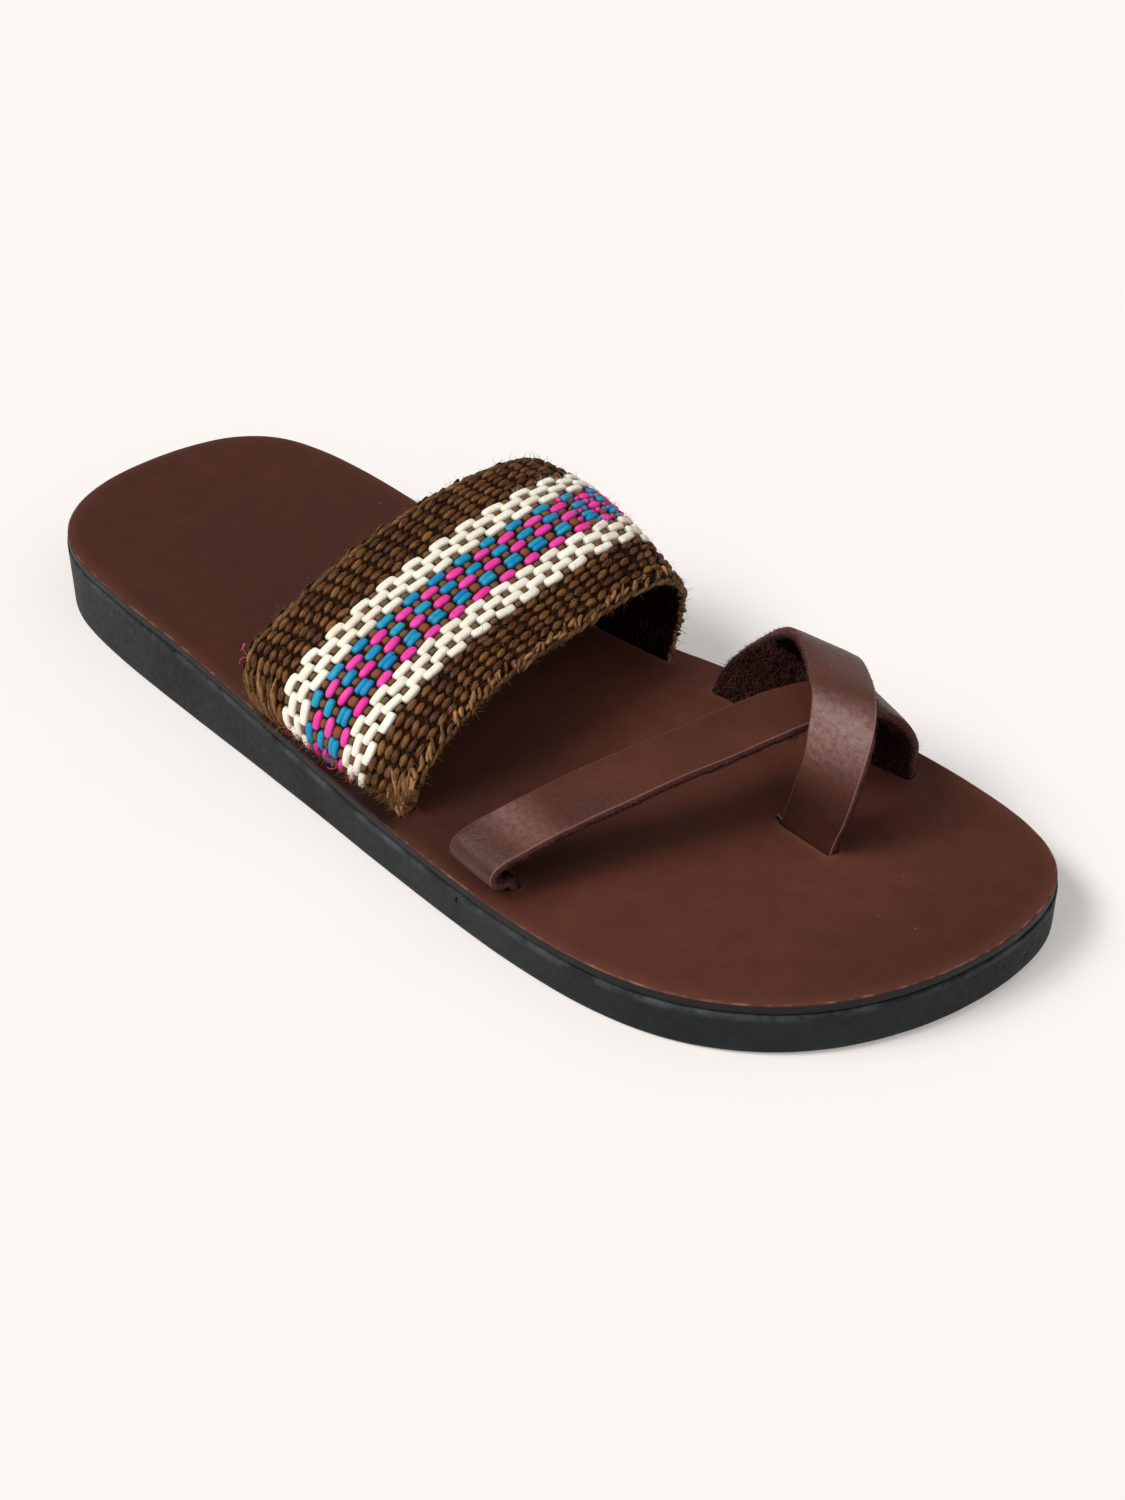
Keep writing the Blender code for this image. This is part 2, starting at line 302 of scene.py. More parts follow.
# what each letter's yarn is; lengths in mm, lean in degrees, rise over the ground cloth
WARP_YARNS = {
    # letter: (yarn, pitch, width, length, rise, lean)
    "s": ("tan", 1.40, 1.45, 6.0, 0.95, 7.0),
    "b": ("brown", 1.95, 1.88, 3.90, 1.10, 7.0),
    "w": ("ivory", 1.90, 2.12, 5.70, 1.10, -1.0),
    "u": ("blue", 1.90, 2.15, 4.60, 1.06, 1.0),
    "p": ("magenta", 1.90, 2.20, 5.20, 1.08, 2.0),
    "U": ("blue", 2.90, 1.62, 4.60, 1.06, 1.0),
    "t": ("tan", 2.30, 1.30, 4.00, 1.20, 32.0),
}
# how each yarn's float is shaped: bluntness of its ends, how fast they narrow, width left at the
# tip, flatness across
FLOAT_FORMS = {
    "tan": (2.6, 0.60, 0.12, 3.0),
    "brown": (2.2, 0.76, 0.10, 3.0),
    "lining": (2.2, 0.76, 0.10, 3.0),
    "ivory": (8.0, 0.34, 0.50, 6.0),
    "blue": (5.0, 0.45, 0.30, 4.5),
    "magenta": (3.4, 0.55, 0.20, 3.8),
    "weft": (3.2, 0.45, 0.40, 3.0),
}
# loose pink threads at the webbing's heel edge and outer slot: across, along and out of its face
LOOSE_THREADS = (
    ((0.7, 20.0, 0.2), (-0.1, 20.3, 0.5), (-0.8, 21.0, 0.6), (-0.9, 21.9, 0.8), (-0.3, 22.0, 1.0),
     (-0.4, 21.0, 1.2), (-1.0, 20.3, 1.1)),
    ((0.5, 19.4, 0.3), (-0.3, 18.9, 0.5), (-0.9, 18.1, 0.8), (-1.0, 17.0, 0.9)),
    ((29.0, 9.0, 1.6), (29.6, 7.8, 2.3), (29.2, 7.0, 2.9), (28.2, 6.7, 3.4), (27.2, 6.8, 3.7)),
    ((33.0, 8.4, 1.8), (34.0, 7.4, 2.4), (35.2, 6.9, 2.8), (36.2, 6.8, 3.2)),
)
# where the toe slot was cut a little too long: its pale torn lip, and a dark strip of painted shadow in its
# cut
SLOT_LIP = ((79.6, 8.9, 12.2), (78.8, 9.2, 12.5), (77.8, 9.6, 12.5), (76.8, 9.9, 12.2))
SLOT_CUT_SHADOW = ((79.8, 8.2, 12.2), (78.9, 8.4, 12.3), (78.0, 8.8, 12.3), (77.2, 9.1, 12.1))
# a small crescent nick in the outer side of the rubber, drawn as a dark strip of painted shadow
SOLE_NICK_SHADOW = ((41.6, -54.9, 8.6), (40.9, -54.9, 7.9), (40.8, -54.9, 7.1), (41.3, -54.9, 6.3))
# the weft between a column's floats: its width, length and rise, and its tone
WEFT_FLOATS = {
    "w": ((1.40, 2.05, 0.76), 0.1),
    "U": ((2.3, 2.5, 0.86), 0.75),
    "u": ((1.6, 2.1, 0.80), 0.6),
    "p": ((1.6, 2.1, 0.80), 0.6),
}
REPEAT = 8.2             # length of one repeat of the pattern along the webbing
WORN_START = 92.0        # along the webbing: the worn shoulder on the big toe side
WORN_FULL = 108.0
WORN_END = 124.0
SPOTS_START = 97.0       # from here its colours break up into spots
SPOT_STEP = 2.0
EDGE_CORD = 0.35         # bare cloth outside the first and the last column
END_BARE = 3.0           # the first and last floats are laid this far from the webbing's ends
FRINGE_STEP = 1.7        # between the ragged floats of the toe edge
SELVEDGE_STEP = 1.6      # between the strands wrapped round the long edges
GROUND_DEPTH = 0.88      # the ground cloth lies this far under the face of the webbing
SPILL_HEEL = 3.0         # how far the yarns spill over the footbed at the outer slot, heel edge
SPILL_TOE = 1.3


def linear(code):
    """An sRGB hex colour as linear red, green and blue."""
    values = [int(code[i:i + 2], 16) / 255.0 for i in (0, 2, 4)]
    return tuple(v / 12.92 if v <= 0.04045 else ((v + 0.055) / 1.055) ** 2.4 for v in values)


def opaque(colour):
    return (colour[0], colour[1], colour[2], 1.0)


# ---------------------------------------------------------------- settings


def colour_setting(name, description, code):
    return FloatVectorProperty(name=name, description=description, subtype="COLOR",
                               size=3, min=0.0, max=1.0, default=linear(code))


class SandalSole(bpy.types.PropertyGroup):
    rubber_colour: colour_setting("Rubber", "Body colour of the sole rubber", "17191a")
    scuff_colour: colour_setting("Scuffs", "Colour of rubbed rubber", "4c5153")
    footbed_colour: colour_setting("Footbed", "Dye colour of the footbed leather", "5e3429")
    footbed_dark: colour_setting("Footbed shade", "Darker places of the dye", "4a291f")
    edge_colour: colour_setting("Edge dye", "Dye on the footbed's cut edge", "1d1a1a")
    fill_step: FloatProperty(name="Mesh step", description="Spacing of points on the footbed",
                             default=2.4 * MM, min=1.0 * MM, max=6.0 * MM, unit="LENGTH")


class SandalLeather(bpy.types.PropertyGroup):
    grain_colour: colour_setting("Grain", "Dye colour of the straps' grain side", "562d21")
    grain_dark: colour_setting("Grain shade", "Darker places of the dye", "3e201a")
    edge_colour: colour_setting("Cut edge", "Colour of the raw cut edge", "6a403a")
    flesh_colour: colour_setting("Flesh side", "Colour of the rough flesh side", "3c1812")
    row_step: FloatProperty(name="Row step", description="Spacing of rows along a strap",
                            default=0.7 * MM, min=0.3 * MM, max=3.0 * MM, unit="LENGTH")
    corner: FloatProperty(name="Corner", description="Rounding of the straps' long edges",
                          default=0.38 * MM, min=0.05 * MM, max=1.2 * MM, unit="LENGTH")


class SandalWeave(bpy.types.PropertyGroup):
    brown_colour: colour_setting("Brown yarn", "Colour of the brown warp", "42220f")
    tan_colour: colour_setting("Tan fibres", "Colour of worn brown fibres", "9e7044")
    ivory_colour: colour_setting("Ivory yarn", "Colour of the ivory warp", "fcf6e8")
    blue_colour: colour_setting("Blue yarn", "Colour of the blue warp", "007ebc")
    magenta_colour: colour_setting("Pink yarn", "Colour of the magenta warp", "f02c98")
    weft_colour: colour_setting("Weft", "Colour of the weft between ivory floats", "6c5436")
    rust_colour: colour_setting("Rust weft", "Colour of the weft between coloured floats", "8a4c30")
    ground_colour: colour_setting("Ground", "Colour deep between the yarns", "20120a")
    seed: IntProperty(name="Seed", description="Seed of the yarns' small differences", default=7)


class SandalStage(bpy.types.PropertyGroup):
    floor_colour: colour_setting("Floor", "Colour of the pale floor", "fbf6f2")
    floor_glow: FloatProperty(name="Floor glow", description="Share of the floor's light that is its own",
                              default=0.28, min=0.0, max=1.0)
    key_strength: FloatProperty(name="Key light", description="Strength of the large soft key light",
                                default=1.69, min=0.0)
    world_strength: FloatProperty(name="Room light", description="Strength of the even room light",
                                  default=0.14, min=0.0)


# ---------------------------------------------------------------- shapes from the tables


def place(points):
    """Table millimetres to the frame's metres."""
    points = np.asarray(points, dtype=float)
    return (points - np.array((DATUM_X, DATUM_Y, 0.0))) * MM


def unit(vectors):
    """Vectors of the same directions, each of length 1."""
    return vectors / np.linalg.norm(vectors, axis=-1, keepdims=True)


def outward(line):
    """Unit steps out of an anticlockwise closed line."""
    ahead = np.roll(line, -1, axis=0) - np.roll(line, 1, axis=0)
    return np.column_stack((ahead[:, 1], -ahead[:, 0])) / np.hypot(*ahead.T)[:, None]


def smooth_line(table, steps=CURVE_STEPS, closed=False):
    """Points on a smooth curve through every row of a table."""
    rows = np.array(table, dtype=float)
    count = len(rows)
    spans = count if closed else count - 1
    points = []
    for i in range(spans):
        if closed:
            a, b, c, d = (rows[(i + k) % count] for k in (-1, 0, 1, 2))
        else:
            a = rows[max(i - 1, 0)]
            b = rows[i]
            c = rows[i + 1]
            d = rows[min(i + 2, count - 1)]
        for k in range(steps):
            t = k / steps
            points.append(0.5 * (2 * b + (c - a) * t + (2 * a - 5 * b + 4 * c - d) * t ** 2
                                 + (3 * b - a - 3 * c + d) * t ** 3))
    if not closed:
        points.append(rows[-1])
    return np.array(points)


PROFILE_LINE = smooth_line(PROFILE, PROFILE_STEPS)


def top_height(x):
    return np.interp(x, PROFILE_LINE[:, 0], PROFILE_LINE[:, 1])


def bottom_height(x):
    height = np.interp(x, PROFILE_LINE[:, 0], PROFILE_LINE[:, 2])
    return np.where(height > 0.03, height, 0.0)


def wobble(points, size, seed):
    """Smooth noise from -1 to 1 at each point; size is the width of its swells."""
    shift = Vector((seed * 17.3, seed * 5.7, seed * 29.1))
    scaled = np.asarray(points, dtype=float) / size
    return np.array([noise.noise(Vector(p) + shift) for p in scaled])


def ease(value, low, high):
    """A soft step from 0 at low to 1 at high."""
    t = np.clip((np.asarray(value, dtype=float) - low) / (high - low), 0.0, 1.0)
    return t * t * (3.0 - 2.0 * t)


class Strap:
    """A strap's outer face: x across it from the heel edge, y along it, z out of it, in mm."""

    def __init__(self, heel, middle, toe):
        length = np.r_[0.0, np.cumsum(np.linalg.norm(np.diff(middle, axis=0), axis=1))]
        self.length = length[-1]
        self.along = np.linspace(0.0, self.length, int(self.length / STRAP_ROW))
        lines = [np.column_stack([np.interp(self.along, length, line[:, k]) for k in range(3)])
                 for line in (heel, middle, toe)]
        self.heel, self.middle, self.toe = lines
        self.width = np.linalg.norm(self.toe - self.heel, axis=1)
        self.shares = np.linspace(0.0, 1.0, STRAP_SHARES)
        grid = np.array([self.across(share, np.arange(len(self.along))) for share in self.shares])
        ahead = np.gradient(grid, axis=1)
        aside = np.gradient(grid, axis=0)
        self.normal = unit(np.cross(aside, ahead))

    def across(self, share, row):
        """A point at that share of the width on a fractional row."""
        share = np.asarray(share, dtype=float) * np.ones(len(row))
        count = np.arange(len(self.along))
        heel, middle, toe = (np.column_stack([np.interp(row, count, line[:, k]) for k in range(3)])
                             for line in (self.heel, self.middle, self.toe))
        t = share[:, None]
        return heel * (1 - t) * (1 - 2 * t) + middle * 4 * t * (1 - t) + toe * t * (2 * t - 1)

    def wrap(self, share, along, out):
        """Points at shares of the width and distances along, lifted out of the face."""
        share = np.asarray(share, dtype=float)
        row = np.interp(along, self.along, np.arange(len(self.along)))
        base = self.across(share, row)
        r = np.clip(row, 0, len(self.along) - 1.001)
        c = np.clip(share, 0.0, 0.9999) * (len(self.shares) - 1)
        r0 = r.astype(int)
        c0 = c.astype(int)
        fr = (r - r0)[:, None]
        fc = (c - c0)[:, None]
        n = self.normal
        normal = ((n[c0, r0] * (1 - fr) + n[c0, r0 + 1] * fr) * (1 - fc)
                  + (n[c0 + 1, r0] * (1 - fr) + n[c0 + 1, r0 + 1] * fr) * fc)
        beyond = np.where(along < 0.0, along, np.maximum(along - self.length, 0.0))
        base[:, 2] -= np.abs(beyond)
        return base + unit(normal) * np.asarray(out, dtype=float)[:, None]

    def bend(self):
        """How sharply the strap bends outwards at each row, in 1/mm."""
        ahead = np.gradient(self.middle, self.along, axis=0)
        turn = np.gradient(ahead, self.along, axis=0)
        middle = len(self.shares) // 2
        return -(turn * self.normal[middle]).sum(axis=1)


def cross_strap():
    line = smooth_line(CROSS_STRAP)
    ahead = unit(np.gradient(line, axis=0))
    share = np.linspace(0.0, 1.0, len(line))[:, None]
    across = np.array(ACROSS_OUTER) * (1.0 - share) + np.array(ACROSS_INNER) * share
    across = unit(across - (across * ahead).sum(axis=1)[:, None] * ahead)
    toe = line + across * CROSS_WIDTH / 2.0
    folded = ease(share, FOLD_START, FOLD_FULL) * (1.0 - ease(share, FOLD_LEAVE, FOLD_END))
    across = unit(across * (1.0 - folded) + np.array(FOLD_ACROSS) * folded)
    heel = toe - across * CROSS_WIDTH
    return Strap(heel, (heel + toe) / 2.0, toe)


def toe_loop():
    heel = smooth_line(LOOP_HEEL_EDGE)
    toe = smooth_line(LOOP_TOE_EDGE)
    return Strap(heel, (heel + toe) / 2.0, toe)


def webbing():
    return Strap(*(smooth_line(table) for table in (BAND_HEEL_EDGE, BAND_MIDDLE, BAND_TOE_EDGE)))


CROSS = cross_strap()
LOOP = toe_loop()
WEB = webbing()


def slot_lines():
    """Each slot's middle line from end to end, and the thickness that goes through it."""
    half_web = np.array((0.0, WEB_THICK / 2.0, 0.0))
    half_leather = np.array((0.0, LEATHER_THICK / 2.0, 0.0))
    none = np.zeros(3)
    ends = (
        # strap, row, step from its face to its middle, thickness
        (WEB, 0, half_web, WEB_THICK),
        (WEB, -1, -half_web, WEB_THICK),
        (CROSS, 0, none, LEATHER_THICK),
        (CROSS, -1, none, LEATHER_THICK),
        (LOOP, 0, half_leather, LEATHER_THICK),
        (LOOP, -1, -half_leather, LEATHER_THICK),
    )
    return [((strap.heel[row] + step)[:2], (strap.toe[row] + step)[:2], thick)
            for strap, row, step, thick in ends]


# ---------------------------------------------------------------- meshes


def new_mesh(name, verts, faces=()):
    mesh = bpy.data.meshes.new(name)
    mesh.from_pydata([tuple(v) for v in verts], [], faces)
    return mesh


def mesh_points(mesh):
    co = np.empty(len(mesh.vertices) * 3)
    mesh.vertices.foreach_get("co", co)
    return co.reshape(-1, 3)


def mesh_piece(name, verts, faces, material, node):
    """A piece of the sandal from points in table millimetres, which stands for a node."""
    mesh = new_mesh(name, place(verts), faces)
    mesh.validate()
    return adopt(name, mesh, material, node)


def adopt(name, mesh, material, node=None):
    """Makes a mesh a piece of the sandal; it rides on the body and may stand for a node."""
    mesh.name = name
    mesh.materials.clear()
    mesh.materials.append(material)
    mesh.shade_smooth()
    obj = bpy.data.objects.new(name, mesh)
    bpy.context.scene.collection.objects.link(obj)
    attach(obj, "root")
    if node is not None:
        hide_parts(node)
        check_box(obj, node)
    return obj


def check_box(obj, node):
    """Stops the script if a piece doesn't fill its node's box."""
    low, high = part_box(node)
    points = mesh_points(obj.data)
    off = max(np.abs(points.min(axis=0) - np.array(low)).max(),
              np.abs(points.max(axis=0) - np.array(high)).max())
    if off > BOX_SLACK * MM:
        raise RuntimeError(f"{obj.name} is {off / MM:.2f} mm off the box of {node}")


def store(mesh, name, values, kind="FLOAT", domain="POINT"):
    attribute = mesh.attributes.new(name, kind, domain)
    key = "vector" if kind in ("FLOAT2", "FLOAT_VECTOR") else "value"
    attribute.data.foreach_set(key, np.asarray(values, dtype=np.float32).ravel())


def inside(points, line):
    """Which points lie inside a closed line."""
    x, y = points[:, 0][:, None], points[:, 1][:, None]
    x0, y0 = line[:, 0], line[:, 1]
    x1, y1 = np.roll(x0, -1), np.roll(y0, -1)
    crosses = (y0 > y) != (y1 > y)
    rise = np.where(y1 == y0, 1.0, y1 - y0)
    hits = crosses & (x < (x1 - x0) * (y - y0) / rise + x0)
    return hits.sum(axis=1) % 2 == 1


def inset_outline(amount):
    """The sole's outline, moved inwards by an even amount."""
    line = smooth_line(OUTLINE, OUTLINE_STEPS, closed=True)
    return line - outward(line) * amount


def slot_ring(start, end, half, beyond):
    """A slot's edge as a closed line: a long box with rounded corners."""
    along = unit(end - start)
    side = np.array((-along[1], along[0]))
    length = np.linalg.norm(end - start) / 2.0 + beyond
    corner = min(SLOT_CORNER + beyond, half)
    count = max(int(length / 0.5), 8)

    def rounding(x, y, first):
        angles = [math.radians(first + angle) for angle in (30.0, 60.0)]
        return [(x + corner * math.cos(a), y + corner * math.sin(a)) for a in angles]

    points = []
    for sign, first, second in ((1.0, 90.0, 180.0), (-1.0, 270.0, 0.0)):
        x = -(length - corner) * sign
        y = (half - corner) * sign
        points += [((length - corner) * t * sign, half * sign) for t in np.linspace(1.0, -1.0, count)]
        points += rounding(x, y, first)
        points += [(-length * sign, y), (-length * sign, -y)]
        points += rounding(x, -y, second)
    local = np.array(points)
    return (start + end) / 2.0 + local[:, :1] * along + local[:, 1:] * side


def fill_points(border, keep_out, step):
    """Points in even rows inside a border and outside some rings."""
    x_low, y_low = border.min(axis=0)
    x_high, y_high = border.max(axis=0)
    rows = []
    for i, y in enumerate(np.arange(y_low, y_high, step * 0.866)):
        xs = np.arange(x_low + (i % 2) * step / 2.0, x_high, step)
        rows.append(np.column_stack((xs, np.full(len(xs), y))))
    filling = np.vstack(rows)
    filling = filling[inside(filling, border)]
    for ring in keep_out:
        filling = filling[~inside(filling, ring)]
    return filling


class Plan:
    """A sole layer seen from above: rings along the outline, rings round the slots, and a filling."""

    def __init__(self, insets, slot_play, slot_rings, step, ragged, seed):
        rng = np.random.default_rng(seed)
        points = []
        edges = []
        self.outline = []
        self.slots = []

        def add_ring(ring):
            first = len(points)
            points.extend(map(tuple, ring))
            ids = list(range(first, len(points)))
            edges.extend(zip(ids, ids[1:] + ids[:1]))
            return ids

        for inset in insets:
            self.outline.append(add_ring(inset_outline(inset)))
        keep_out = []
        for start, end, thick in slot_lines():
            rings = []
            for grow in (0.0,) + slot_rings:
                ring = slot_ring(start, end, thick / 2.0 + slot_play + grow, slot_play + grow)
                if grow == 0.0:
                    ring = ring + rng.normal(0.0, ragged, ring.shape)
                rings.append(add_ring(ring))
            self.slots.append(rings)
            clear = slot_play + slot_rings[-1] + step * 0.5
            keep_out.append(slot_ring(start, end, thick / 2.0 + clear, clear))
        border = inset_outline(insets[-1] + step * 0.6)
        points.extend(map(tuple, fill_points(border, keep_out, step)))
        verts, _, faces, origin, _, _ = delaunay_2d_cdt(
            [Vector(p) for p in points], edges, [], 0, 1e-5)
        new_id = {}
        for new, olds in enumerate(origin):
            for old in olds:
                new_id[old] = new
        self.outline = [[new_id[i] for i in ring] for ring in self.outline]
        self.slots = [[[new_id[i] for i in ring] for ring in rings] for rings in self.slots]
        self.points = np.array([tuple(v) for v in verts])
        faces = np.array([f for f in faces if len(f) == 3])
        middle = self.points[faces].mean(axis=1)
        outer = self.points[self.outline[0]]
        faces = faces[inside(middle, outer)]
        middle = self.points[faces].mean(axis=1)
        a, b, c = (self.points[faces[:, k]] for k in range(3))
        area = (b[:, 0] - a[:, 0]) * (c[:, 1] - a[:, 1]) - (c[:, 0] - a[:, 0]) * (b[:, 1] - a[:, 1])
        faces[area < 0] = faces[area < 0][:, ::-1]
        self.in_slot = np.full(len(faces), -1)
        for k, rings in enumerate(self.slots):
            self.in_slot[inside(middle, self.points[rings[0]])] = k
        self.faces = faces

    def distance(self, rings):
        """How far each point lies from the nearest of some rings, in mm."""
        line = self.points[sum(rings, [])]
        return np.sqrt(((self.points[:, None, :] - line[None, :, :]) ** 2).sum(axis=2).min(axis=1))


def tube_faces(rows, count, shut=True):
    """Faces between rings of points that follow each other in one list, with the ends shut or open."""
    faces = []
    for r in range(rows):
        for c in range(count):
            d = (c + 1) % count
            faces.append((r * count + c, r * count + d, (r + 1) * count + d, (r + 1) * count + c))
    if shut:
        faces.append(tuple(range(count))[::-1])
        faces.append(tuple(rows * count + c for c in range(count)))
    return faces


def wall(upper, lower):
    """Faces between two closed rings; the upper ring runs anticlockwise round the material."""
    count = len(upper)
    return [(upper[i], lower[i], lower[(i + 1) % count], upper[(i + 1) % count]) for i in range(count)]


def is_anticlockwise(points):
    x, y = points[:, 0], points[:, 1]
    return (x * np.roll(y, -1) - np.roll(x, -1) * y).sum() > 0


# ---------------------------------------------------------------- nodes


def plug(socket, value):
    """Feeds an input with a value, a colour, a socket, or a node whose first output is meant."""
    if isinstance(value, bpy.types.Node):
        value = next(out for out in value.outputs if out.enabled)
    if isinstance(value, bpy.types.NodeSocket):
        socket.id_data.links.new(value, socket)
    else:
        socket.default_value = opaque(value) if socket.type == "RGBA" else value


def add_node(tree, kind, inputs=None, **settings):
    """Adds a node with its settings and its inputs."""
    node = tree.nodes.new(kind)
    for key, value in settings.items():
        setattr(node, key, value)
    for key, value in (inputs or {}).items():
        plug(node.inputs[key], value)
    return node


def new_material(name):
    """A material, what adds a node to its tree, and its shader."""
    material = bpy.data.materials.new(name)
    material.use_nodes = True
    tree = material.node_tree
    return material, partial(add_node, tree), tree.nodes["Principled BSDF"]


def finish_shader(shader, colour, roughness, gloss, **others):
    """Feeds the shader; gloss is its specular level, others are inputs such as Normal."""
    inputs = {"Base Color": colour, "Roughness": roughness, "Specular IOR Level": gloss, **others}
    for key, value in inputs.items():
        plug(shader.inputs[key], value)


def rubber_material(settings):
    """Microcellular sole rubber, cut from sheet and buffed: matt charcoal, rubbed pale at its edges."""
    material, node, shader = new_material("buffed_sole_rubber")
    coords = node("ShaderNodeTexCoord").outputs["Object"]
    under = node("ShaderNodeAttribute", attribute_name="under_edge").outputs["Fac"]
    cloud = node("ShaderNodeTexNoise", {"Vector": coords, "Scale": 1 / 0.022, "Detail": 4.0,
                                        "Roughness": 0.55})
    # specks 1.6 mm wide; real pores are usually finer and would hardly show
    fine = node("ShaderNodeTexNoise", {"Vector": coords, "Scale": 1 / 0.0016, "Detail": 3.0,
                                       "Roughness": 0.65})
    tone = node("ShaderNodeMapRange", {"Value": cloud, "From Min": 0.3, "From Max": 0.72, "To Max": 0.2})
    base = node("ShaderNodeMix", {0: tone, 6: settings.rubber_colour, 7: settings.scuff_colour},
                data_type="RGBA")
    # a rubbed line just under the top edge, broken up where the buffing wheel missed
    line = node("ShaderNodeMapRange", {"Value": under, "From Min": 2.0, "From Max": 0.4},
                interpolation_type="SMOOTHSTEP")
    broken = node("ShaderNodeTexNoise", {"Vector": coords, "Scale": 1 / 0.009, "Detail": 5.0,
                                         "Roughness": 0.7})
    gate = node("ShaderNodeMapRange", {"Value": broken, "From Min": 0.42, "From Max": 0.66, "To Max": 0.75})
    scuffed = node("ShaderNodeMath", {0: line, 1: gate}, operation="MULTIPLY")
    colour = node("ShaderNodeMix", {0: scuffed, 6: base, 7: settings.scuff_colour}, data_type="RGBA")
    rough = node("ShaderNodeMapRange", {"Value": fine, "From Min": 0.3, "From Max": 0.7,
                                        "To Min": 0.52, "To Max": 0.72})
    bump = node("ShaderNodeBump", {"Height": fine, "Strength": 0.25, "Distance": 0.00025})
    finish_shader(shader, colour, rough, 0.14, Normal=bump)
    return material


def footbed_material(settings):
    """Vegetable tanned sole leather, dyed and waxed: satin, faintly mottled, its cut edge inked black."""
    material, node, shader = new_material("waxed_sole_leather")
    coords = node("ShaderNodeTexCoord").outputs["Object"]
    edge, rim, fade, deep = (node("ShaderNodeAttribute", attribute_name=name).outputs["Fac"]
                             for name in ("edge_dye", "rim", "dye_fade", "dye_deep"))
    large = node("ShaderNodeTexNoise", {"Vector": coords, "Scale": 1 / 0.045, "Detail": 3.0})
    small = node("ShaderNodeTexNoise", {"Vector": coords, "Scale": 1 / 0.006, "Detail": 5.0,
                                        "Roughness": 0.62})
    mottle = node("ShaderNodeMix", {0: 0.55, 6: large.outputs["Color"], 7: small.outputs["Color"]},
                  data_type="RGBA")
    tone = node("ShaderNodeMapRange", {"Value": mottle, "From Min": 0.36, "From Max": 0.62,
                                       "To Min": 0.75, "To Max": 0.0})
    # the grain's rim is painted paler as a thin broken line: partly its burnished leather, partly a painted
    # highlight on the edge
    dash = node("ShaderNodeTexNoise", {"Vector": coords, "Scale": 1 / 0.0035, "Detail": 3.0})
    dashes = node("ShaderNodeMapRange", {"Value": dash, "From Min": 0.45, "From Max": 0.7, "To Max": 0.6})
    burnished_highlight = node("ShaderNodeMath", {0: rim, 1: dashes}, operation="MULTIPLY")
    # dust specks, scattered thinly
    speck = node("ShaderNodeTexVoronoi", {"Vector": coords, "Scale": 1 / 0.0042})
    dot = node("ShaderNodeMapRange", {"Value": speck, "From Min": 0.035, "From Max": 0.055,
                                      "To Min": 1.0, "To Max": 0.0})
    chance = node("ShaderNodeSeparateColor", {0: speck.outputs["Color"]})
    few = node("ShaderNodeMath", {0: chance, 1: 0.86}, operation="GREATER_THAN")
    specks = node("ShaderNodeMath", {0: dot, 1: few}, operation="MULTIPLY")
    dust = node("ShaderNodeMath", {0: specks, 1: 0.35}, operation="MULTIPLY")
    # the dye goes darker towards the heel and the toe tip; between webbing and strap the darkening is painted
    # shade
    colour = settings.footbed_colour
    coats = ((tone, settings.footbed_dark), (deep, linear("180c0a")), (fade, linear("6f4638")),
             (burnished_highlight, linear("9a6a5c")), (dust, linear("b8a294")), (edge, settings.edge_colour))
    for share, coat in coats:
        colour = node("ShaderNodeMix", {0: share, 6: colour, 7: coat}, data_type="RGBA")
    # pores 0.9 mm apart; a hide's own are usually finer and would hardly show
    pores = node("ShaderNodeTexVoronoi", {"Vector": coords, "Scale": 1 / 0.0009}, feature="SMOOTH_F1")
    ridge = node("ShaderNodeMix", {0: 0.5, 2: pores, 3: small}, data_type="FLOAT")
    bump = node("ShaderNodeBump", {"Height": ridge, "Strength": 0.3, "Distance": 0.0003})
    rough = node("ShaderNodeMapRange", {"Value": small, "From Min": 0.3, "From Max": 0.7,
                                        "To Min": 0.40, "To Max": 0.54})
    finish_shader(shader, colour, rough, 0.16, Normal=bump)
    return material


